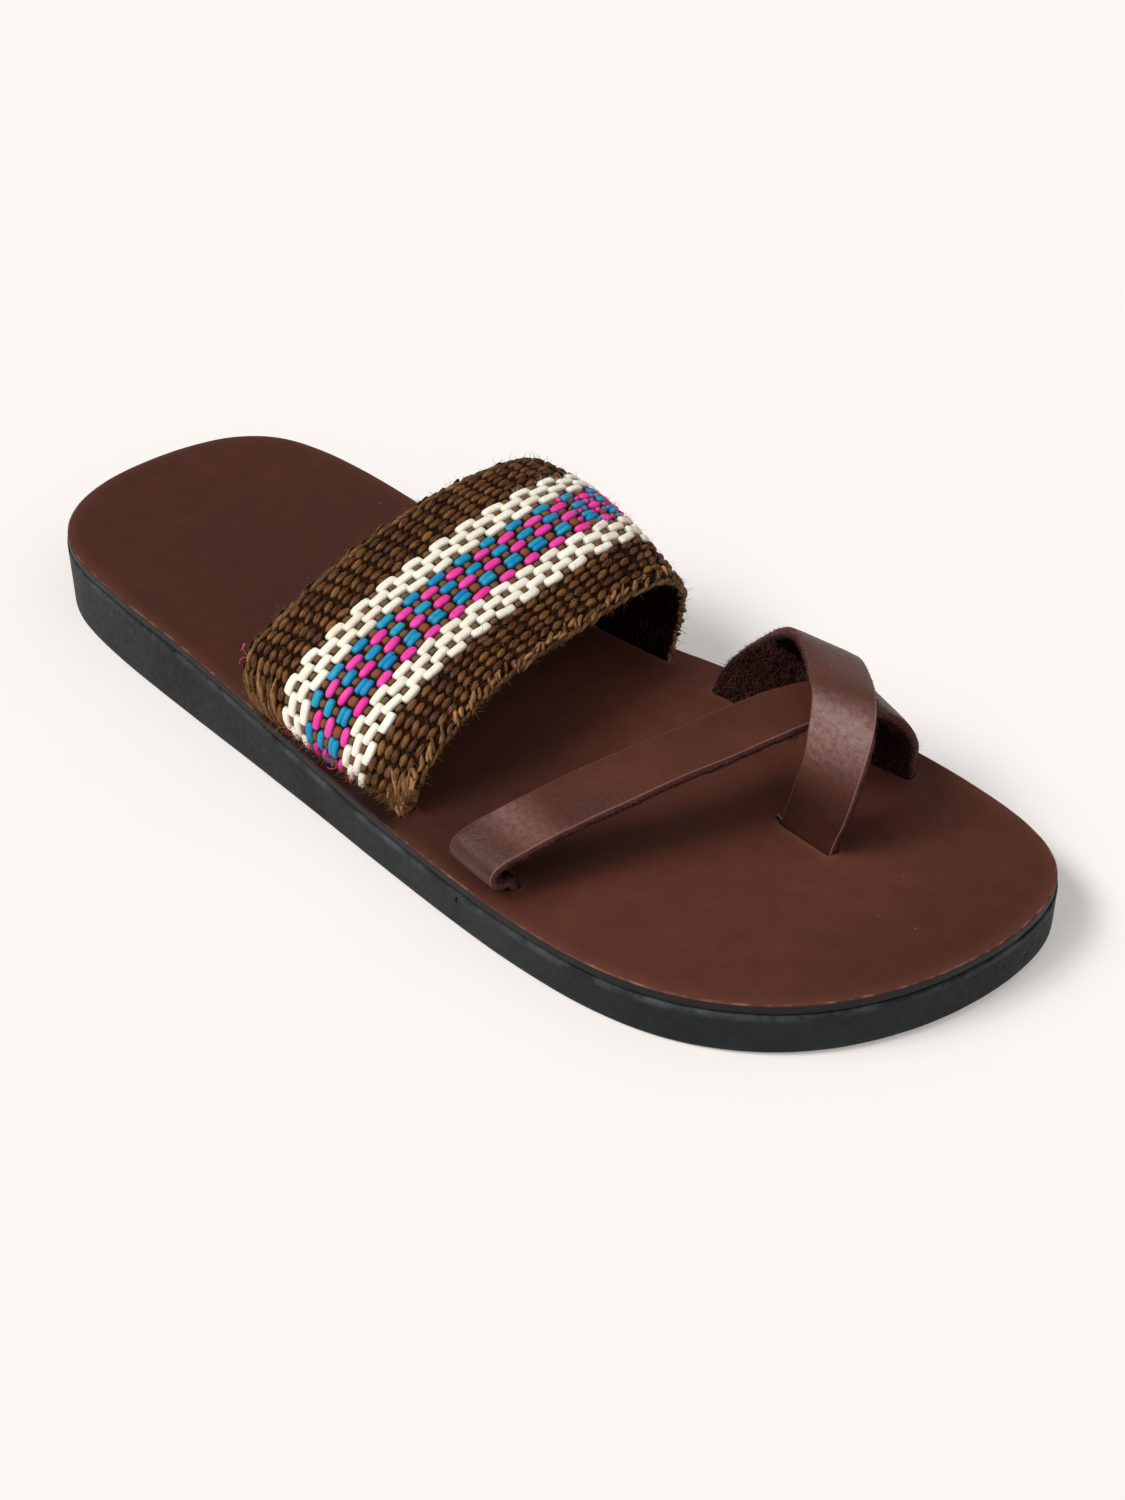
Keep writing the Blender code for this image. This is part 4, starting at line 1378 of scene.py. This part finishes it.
class Chart:
    """The webbing's floats by yarn, each with its place, size, turn, tone and hook."""

    def __init__(self, settings):
        self.rng = np.random.default_rng(settings.seed)
        self.rows = {name: [] for name in FLOAT_FORMS}
        self.columns, self.width = column_layout()
        self.low = END_BARE
        self.high = WEB.length - END_BARE
        self.lay_columns()
        self.lay_edges()
        self.lay_strands()

    def put(self, yarn, x, y, z, size, lean, tone, facing="out", hook=0.0, loose=1.0):
        rng = self.rng
        worn = float(ease(y, WORN_START, WORN_FULL)) if facing == "out" else 0.0
        loose = loose * (1.0 + 1.5 * worn)
        shorter = worn * (0.40 if yarn in ("blue", "magenta") else 0.16)
        size = np.array(size) * rng.normal(1.0, (0.035, 0.05, 0.04)) * (1.0, 1.0 - shorter, 1.0)
        turn = float_turn(math.radians(lean + rng.normal(0.0, 3.0 * loose)), facing)
        place_at = (x + rng.normal(0.0, 0.05 * loose), y + rng.normal(0.0, 0.13 * loose), z)
        self.rows[yarn].append((*place_at, *size, *turn, rng.normal(tone, 0.22), hook))

    def lay_columns(self):
        first = WARP_CHART.index("w")
        last = WARP_CHART.rindex("w")
        deep = -GROUND_DEPTH
        within = -WEB_THICK + GROUND_DEPTH
        half = REPEAT / 2.0
        for index, (letter, x) in enumerate(self.columns):
            yarn, pitch, broad, length, rise, lean = WARP_YARNS[letter]
            drift = 0.12 * index % half
            if letter in "bs":
                start, tone = (drift, 0.30) if letter == "b" else (0.0, 0.10)
                for y in np.arange(self.low + start, self.high, half):
                    self.put(yarn, x, y, deep, (broad, length, rise), lean, tone, loose=2.0)
            elif letter == "t":
                for y in np.arange(self.low, self.high, FRINGE_STEP):
                    side = self.rng.normal(0.0, 0.35)
                    size = (broad * self.rng.uniform(0.7, 1.1), length * self.rng.uniform(0.75, 1.2), rise)
                    self.put(yarn, x + side, y, deep, size, lean - 30.0 * side,
                             self.rng.uniform(-0.2, 0.9), hook=self.rng.normal(0.1, 0.4), loose=3.5)
            else:
                phase = (index - first) % 2 * half
                hook = {first: 0.30, last: -0.20}.get(index, 0.0)
                strands = (-0.64, 0.64) if letter == "U" else (0.0,)
                for y in np.arange(self.low + phase, self.high, REPEAT):
                    for step in strands:
                        self.put(yarn, x + step, y, deep, (broad, length, rise), lean, 0.5, hook=hook)
                size, tone = WEFT_FLOATS[letter]
                for y in np.arange(self.low + (phase + half) % REPEAT, self.high, REPEAT):
                    self.put("weft", x, y, deep, size, lean, tone)
            if letter in "upU":
                # the big toe side of the crown is worn: the colours break up into small spots
                for y in np.arange(SPOTS_START, WORN_END, SPOT_STEP):
                    size = (self.rng.uniform(1.1, 1.7), self.rng.uniform(1.4, 2.3), 1.0)
                    self.put(str(self.rng.choice(("blue", "magenta", "weft"))), x, y, deep, size, lean,
                             0.3, loose=2.0)
            # the inner face: plain brown floats all over, dark brown and painted darker still as painted
            # shade inside the webbing
            for y in np.arange(self.low + drift, self.high, half):
                self.put("lining", x, y, within, (pitch * 0.97, 4.1, 0.90), lean, -0.1, "in")

    def lay_edges(self):
        """Strands of the selvedges wrap round the webbing's two long edges."""
        middle = -WEB_THICK / 2.0
        for facing, x, lean, tone in (("heel", 0.30, -22.0, 0.1), ("toe", self.width - 0.30, 32.0, 0.4)):
            for y in np.arange(self.low, self.high, SELVEDGE_STEP):
                self.put("tan", x, y, middle, (1.4, self.rng.uniform(3.0, 4.8), 0.62), lean,
                         tone + self.rng.uniform(-0.5, 0.3), facing, loose=3.5)

    def lay_strands(self):
        """Where the webbing dives into its outer slot its edge yarns draw out long and thin."""
        rng = self.rng
        bases = (
            # yarn, from, to, strands, lean, shortest, longest
            ("tan", 0.4, 11.0, 40, 4.0, 6.0, 11.0),
            ("tan", self.width - 6.0, self.width - 0.2, 26, 22.0, 3.0, 7.0),
            ("magenta", 20.0, 31.5, 5, 6.0, 2.5, 4.5),
            ("blue", 20.0, 31.5, 5, 6.0, 2.5, 4.5),
        )
        for yarn, low, high, count, lean, shortest, longest in bases:
            for x in rng.uniform(low, high, count):
                y = rng.uniform(7.0, 15.0) if yarn == "tan" else rng.uniform(6.0, 8.5)
                size = (rng.uniform(0.4, 0.8), rng.uniform(shortest, longest), 0.85)
                self.put(yarn, x, y, -GROUND_DEPTH + 0.3, size, lean, rng.uniform(-0.2, 0.8),
                         hook=rng.uniform(-0.7, 0.7), loose=3.0)


def chart_mesh(rows):
    data = np.array(rows, dtype=float)
    mesh = new_mesh("chart", data[:, :3])
    store(mesh, "size", data[:, 3:6], "FLOAT_VECTOR")
    store(mesh, "turn", data[:, 6:9], "FLOAT_VECTOR")
    store(mesh, "tone", data[:, 9])
    store(mesh, "hook", data[:, 10])
    return mesh


def read(mesh, name, width=1):
    attribute = mesh.attributes[name]
    values = np.empty(len(attribute.data) * width, dtype=np.float32)
    attribute.data.foreach_get("value" if width == 1 else "vector", values)
    return values if width == 1 else values.reshape(-1, width)


def wrap_web(mesh, width):
    """Bends a flat mesh, in mm on the webbing's plan, onto the band."""
    flat = mesh_points(mesh)
    store(mesh, "web_mm", flat, "FLOAT_VECTOR")
    share = stripe_share(flat[:, 0] / width, flat[:, 1])
    out = spill(share, flat[:, 1], flat[:, 2])
    mesh.vertices.foreach_set("co", place(WEB.wrap(share, flat[:, 1], out)).ravel())
    mesh.update()


def build_wall(settings, width):
    """The ground cloth: one closed wall under the floats of both faces."""
    columns = 44
    rows = int(WEB.length)
    along = np.linspace(0.0, WEB.length, rows + 1)
    x = np.linspace(0.25, width - 0.25, columns + 1)
    outer = -GROUND_DEPTH
    inner = -WEB_THICK + GROUND_DEPTH
    section = np.array([(v, outer) for v in x] + [(v, inner) for v in x[::-1]])
    count = len(section)
    s = np.repeat(along, count)
    flat_x = np.tile(section[:, 0], rows + 1)
    out = np.tile(section[:, 1], rows + 1)
    share = stripe_share(flat_x / width, s)
    verts = WEB.wrap(share, s, spill(share, s, out))
    mesh = new_mesh("web_ground", place(verts), tube_faces(rows, count))
    store(mesh, "web_mm", np.column_stack((flat_x, s, out)), "FLOAT_VECTOR")
    adopt("web_ground", mesh, ground_material(settings), "woven_band")


def yarn_colours(settings):
    return {
        # yarn: (material's name, colour, worn colour, spread, painted shade in the gaps, gloss)
        "tan": ("tan_edge_yarn", tuple(0.24 * c for c in settings.tan_colour),
                tuple(1.30 * c for c in settings.tan_colour), 1.0, 0.9, 0.2),
        "brown": ("brown_wool_yarn", settings.brown_colour, linear("a06c38"), 0.72, 0.95, 0.22),
        # the lining is dark brown, painted darker still as painted shade inside the webbing
        "lining": ("lining_yarn_painted_dark", tuple(0.18 * c for c in settings.brown_colour),
                   tuple(0.7 * c for c in settings.brown_colour), 0.72, 0.95, 0.05),
        "ivory": ("ivory_cotton_yarn", settings.ivory_colour, linear("e2d6bc"), 0.7, 0.8, 0.12),
        "blue": ("blue_acrylic_yarn", settings.blue_colour, linear("22a8b8"), 0.9, 0.85, 0.3),
        "magenta": ("magenta_acrylic_yarn", settings.magenta_colour, linear("e65cb6"), 0.8, 0.8, 0.3),
        "weft": ("weft_yarn", settings.weft_colour, settings.rust_colour, 1.0, 0.65, 0.1),
    }


def build_yarns(settings):
    """Every float of the webbing, one piece for each yarn."""
    chart = Chart(settings)
    tree = yarn_tree()
    for yarn, (label, colour, worn, spread, dark, gloss) in yarn_colours(settings).items():
        shape = float_shape(*FLOAT_FORMS[yarn])
        material = yarn_material(label, tuple(colour), tuple(worn), spread, dark, gloss)
        mesh = run_tree(tree, chart_mesh(chart.rows[yarn]),
                        {"Float": shape, "Unevenness": 0.2, "Material": material})
        size = read(mesh, "size", 3)
        tone = read(mesh, "tone")
        # places on each float in mm, shifted by its tone so that floats differ in their pattern
        local = np.column_stack((read(mesh, "aside") * size[:, 0] / 2.0 + np.floor(tone * 9000) * 0.37,
                                 read(mesh, "along") * size[:, 1] / 2.0, tone * 50.0))
        wrap_web(mesh, chart.width)
        store(mesh, "yarn_mm", local, "FLOAT_VECTOR")
        for name in ("size", "turn", "hook", "along", "aside"):
            mesh.attributes.remove(mesh.attributes[name])
        adopt(f"yarn_{yarn}", mesh, material)
        bpy.data.objects.remove(shape)


# ---------------------------------------------------------------- loose fibres


def scatter(name, source, faces_wanted, material, density, shortest, longest, lean, thickness, seed):
    """Fibres on the chosen faces of a piece, in fibres for each square millimetre."""
    mesh = source.data.copy()
    bm = bmesh.new()
    bm.from_mesh(mesh)
    bm.faces.ensure_lookup_table()
    unwanted = [f for f, keep in zip(bm.faces, faces_wanted) if not keep]
    bmesh.ops.delete(bm, geom=unwanted, context="FACES")
    bm.to_mesh(mesh)
    bm.free()
    fibre = fibre_shape(thickness)
    made = run_tree(fibre_tree(), mesh, {
        "Fibre": fibre, "Density": density / MM ** 2, "Shortest": shortest * MM,
        "Longest": longest * MM, "Lean": lean, "Seed": seed, "Material": material})
    bpy.data.objects.remove(fibre)
    adopt(name, made, material)


def thread(name, table, material, radius):
    """A loose thread, a thin lip or a dark strip of painted shadow through a few points, four-sided, as one
    piece.
    """
    line = smooth_line(table, THREAD_STEPS)
    ahead = unit(np.gradient(line, axis=0))
    side = unit(np.cross(ahead, (0.3, 0.1, 0.95)))
    over = np.cross(side, ahead)
    thin = radius * np.sin(np.linspace(0.12, 0.92, len(line)) * math.pi)[:, None]
    rings = [line + thin * v for v in (side, over, -side, -over)]
    verts = np.stack(rings, axis=1).reshape(-1, 3)
    mesh = new_mesh(name, place(verts), tube_faces(len(line) - 1, 4, shut=False))
    bm = bmesh.new()
    bm.from_mesh(mesh)
    bmesh.ops.holes_fill(bm, edges=bm.edges)
    bmesh.ops.recalc_face_normals(bm, faces=bm.faces)
    bm.to_mesh(mesh)
    bm.free()
    adopt(name, mesh, material)


def face_values(mesh, name, width=1):
    values = read(mesh, name, width)
    return np.array([values[list(p.vertices)].mean(axis=0) for p in mesh.polygons])


# ---------------------------------------------------------------- operators


class SANDAL_OT_rubber_sole(bpy.types.Operator):
    """Build the rubber sole with its pockets for the straps"""
    bl_idname = "sandal.rubber_sole"
    bl_label = "Rubber Sole"

    def execute(self, context):
        build_rubber(context.scene.sandal_sole)
        return {"FINISHED"}


class SANDAL_OT_footbed(bpy.types.Operator):
    """Build the leather footbed with its cut slots and inked edge"""
    bl_idname = "sandal.footbed"
    bl_label = "Footbed"

    def execute(self, context):
        build_footbed(context.scene.sandal_sole)
        return {"FINISHED"}


class SANDAL_OT_leather_straps(bpy.types.Operator):
    """Build the slanting strap and the toe loop"""
    bl_idname = "sandal.leather_straps"
    bl_label = "Leather Straps"

    def execute(self, context):
        settings = context.scene.sandal_leather
        materials = (strap_material(settings), flesh_material(settings))
        half = LEATHER_THICK / 2.0
        # the slanting strap's pale patch is partly paler drawn grain and partly a painted highlight; the toe
        # loop's is a painted highlight
        build_strap("cross_strap_leather", CROSS, CROSS_WIDTH, -half, half, "cross_strap", materials,
                    settings, seed=11, pale=(28.0, 5.0, 0.55), crown=0.0, end_shade=0.4)
        loop_width = float(np.median(LOOP.width))
        build_strap("toe_loop_leather", LOOP, loop_width, -LEATHER_THICK, 0.0, "toe_loop", materials,
                    settings, seed=23, pale=(36.0, 8.0, 0.98), crown=0.24, end_shade=0.60)
        return {"FINISHED"}


class SANDAL_OT_webbing(bpy.types.Operator):
    """Build the webbing: its ground cloth and the floats of every yarn"""
    bl_idname = "sandal.webbing"
    bl_label = "Woven Webbing"

    def execute(self, context):
        settings = context.scene.sandal_weave
        build_wall(settings, column_layout()[1])
        build_yarns(settings)
        return {"FINISHED"}


class SANDAL_OT_loose_fibres(bpy.types.Operator):
    """Scatter loose fibres over the webbing and the leather's raw edges"""
    bl_idname = "sandal.loose_fibres"
    bl_label = "Loose Fibres"

    def execute(self, context):
        weave = context.scene.sandal_weave
        leather = context.scene.sandal_leather
        objects = bpy.data.objects
        tan = fibre_material("tan_wool_fibre", tuple(weave.brown_colour), tuple(weave.tan_colour))
        red = fibre_material("leather_fibre", tuple(leather.flesh_colour), linear("6e3c3a"))
        nap = fibre_material("leather_nap", linear("1a0e0c"), linear("64403a"))
        white = fibre_material("white_cotton_fibre", linear("d8cdbd"), linear("fbf6ec"))
        pink = fibre_material("pink_acrylic_fibre", linear("a8708c"), linear("e04890"))
        for yarn, density in (("brown", 0.22), ("tan", 0.5)):
            piece = objects[f"yarn_{yarn}"]
            wanted = np.ones(len(piece.data.polygons), dtype=bool)
            scatter(f"fuzz_{yarn}", piece, wanted, tan, density=density,
                    shortest=0.6, longest=2.4, lean=0.9, thickness=0.03, seed=31)
        # the coloured middle is brushed up on the inner shoulder and where it enters the outer slot
        for yarn, material in (("ivory", white), ("magenta", pink), ("blue", pink)):
            piece = objects[f"yarn_{yarn}"]
            along = face_values(piece.data, "web_mm", 3)[:, 1]
            shoulder = (along > WORN_START) & (along < WORN_END)
            scatter(f"fuzz_{yarn}", piece, shoulder, material, density=0.9,
                    shortest=0.6, longest=1.9, lean=0.9, thickness=0.025, seed=31)
            scatter(f"fuzz_{yarn}_base", piece, along < 11.0, pink, density=0.45,
                    shortest=1.0, longest=3.0, lean=1.0, thickness=0.02, seed=41)
        # cut yarn ends and leather fibres stand out of the outer slot
        ground = objects["web_ground"]
        web_mm = face_values(ground.data, "web_mm", 3)
        mouth = (web_mm[:, 1] > 5.5) & (web_mm[:, 1] < 9.0) & (web_mm[:, 2] > -WEB_THICK / 2.0)
        scatter("fringe_outer_slot", ground, mouth, tan, density=3.2,
                shortest=1.4, longest=3.6, lean=0.9, thickness=0.03, seed=47)
        rosy = fibre_material("loose_pink_yarn", linear("a83458"), linear("d8688a"))
        width = column_layout()[1]
        for number, line in enumerate(LOOSE_THREADS):
            across, along, out = np.array(line).T
            thread(f"loose_thread_{number}", WEB.wrap(across / width, along, out), rosy,
                   radius=0.13)
        pale = fibre_material("torn_grain", linear("6a564a"), linear("8c7a68"))
        black = fibre_material("cut_shadow", linear("0c0706"), linear("0c0706"))
        thread("slot_lip", SLOT_LIP, pale, radius=0.20)
        thread("slot_cut", SLOT_CUT_SHADOW, black, radius=0.30)
        thread("sole_nick", SOLE_NICK_SHADOW, black, radius=0.32)
        for key, start in (("cross_strap", 0.62), ("toe_loop", 0.72)):
            piece = objects[f"{key}_leather"]
            side = face_values(piece.data, "side")
            wanted = np.abs(side - 1.1) < 0.25
            scatter(f"fuzz_{key}", piece, wanted, red, density=4.0,
                    shortest=0.3, longest=0.9, lean=0.8, thickness=0.06, seed=37)
            along = face_values(piece.data, "strap_mm", 3)[:, 1]
            inner = (side > 1.4) & (along > start * along.max())
            scatter(f"nap_{key}", piece, inner, nap, density=3.6,
                    shortest=0.8, longest=2.4, lean=1.3, thickness=0.05, seed=43)
        return {"FINISHED"}


class SANDAL_OT_stage(bpy.types.Operator):
    """Lay the pale floor and set the soft lights and the camera"""
    bl_idname = "sandal.stage"
    bl_label = "Stage"

    def execute(self, context):
        settings = context.scene.sandal_stage
        scene = context.scene
        bpy.ops.mesh.primitive_plane_add(size=FLOOR_SIZE, location=(0.0, 0.0, -FLOOR_DROP))
        floor = context.object
        floor.name = "floor"
        floor.data.materials.append(floor_material(settings))
        world = bpy.data.worlds.new("soft_room")
        world.use_nodes = True
        background = world.node_tree.nodes["Background"]
        background.inputs["Color"].default_value = (1.0, 0.985, 0.97, 1.0)
        background.inputs["Strength"].default_value = settings.world_strength
        scene.world = world
        lights = (
            # name, towards the light, how wide it looks in degrees, share of the key's strength
            ("key_light", (-0.31, -0.58, 0.76), 22.0, 1.0),
            ("key_left", (-0.52, -0.46, 0.72), 22.0, 0.40),
            ("key_right", (-0.04, -0.70, 0.71), 22.0, 0.35),
            ("side_light", (0.70, -0.35, 0.60), 60.0, 0.31),
            ("back_light", (0.40, 0.45, 0.80), 70.0, 0.22),
        )
        for name, towards, width, share in lights:
            data = bpy.data.lights.new(name, "SUN")
            data.angle = math.radians(width)
            data.energy = settings.key_strength * share
            light = bpy.data.objects.new(name, data)
            light.location = Vector(towards)
            light.rotation_euler = Vector(towards).to_track_quat("Z", "Y").to_euler()
            scene.collection.objects.link(light)
        data = bpy.data.cameras.new("camera")
        data.sensor_width = SENSOR_WIDTH
        data.lens = CAMERA_LENS
        data.clip_start = 0.01
        camera = bpy.data.objects.new("camera", data)
        camera.location = CAMERA_PLACE
        camera.rotation_euler = (math.radians(CAMERA_TILT), 0.0, math.radians(CAMERA_TURN))
        scene.collection.objects.link(camera)
        scene.camera = camera
        scene.view_settings.view_transform = "Standard"
        return {"FINISHED"}


class SANDAL_PT_panel(bpy.types.Panel):
    """The sandal's pieces in the order they are built"""
    bl_idname = "SANDAL_PT_panel"
    bl_label = "Toe Ring Sandal"
    bl_space_type = "VIEW_3D"
    bl_region_type = "UI"
    bl_category = "Sandal"

    def draw(self, context):
        for operator in OPERATORS:
            self.layout.operator(operator.bl_idname)
        for label, group in (("Sole", "sandal_sole"), ("Leather", "sandal_leather"),
                             ("Weave", "sandal_weave"), ("Stage", "sandal_stage")):
            box = self.layout.box()
            box.label(text=label)
            settings = getattr(context.scene, group)
            for key in settings.bl_rna.properties.keys():
                if key not in ("name", "rna_type"):
                    box.prop(settings, key)


GROUPS = (
    ("sandal_sole", SandalSole),
    ("sandal_leather", SandalLeather),
    ("sandal_weave", SandalWeave),
    ("sandal_stage", SandalStage),
)
OPERATORS = (
    SANDAL_OT_rubber_sole,
    SANDAL_OT_footbed,
    SANDAL_OT_leather_straps,
    SANDAL_OT_webbing,
    SANDAL_OT_loose_fibres,
    SANDAL_OT_stage,
)


def register():
    for key, group in GROUPS:
        bpy.utils.register_class(group)
        setattr(bpy.types.Scene, key, PointerProperty(type=group))
    for operator in OPERATORS:
        bpy.utils.register_class(operator)
    bpy.utils.register_class(SANDAL_PT_panel)


def unregister():
    bpy.utils.unregister_class(SANDAL_PT_panel)
    for operator in reversed(OPERATORS):
        bpy.utils.unregister_class(operator)
    for key, group in reversed(GROUPS):
        delattr(bpy.types.Scene, key)
        bpy.utils.unregister_class(group)


def main():
    """Builds the whole sandal."""
    register()
    bpy.ops.sandal.rubber_sole()
    bpy.ops.sandal.footbed()
    bpy.ops.sandal.leather_straps()
    bpy.ops.sandal.webbing()
    bpy.ops.sandal.loose_fibres()
    bpy.ops.sandal.stage()


if __name__ == "__main__":
    main()
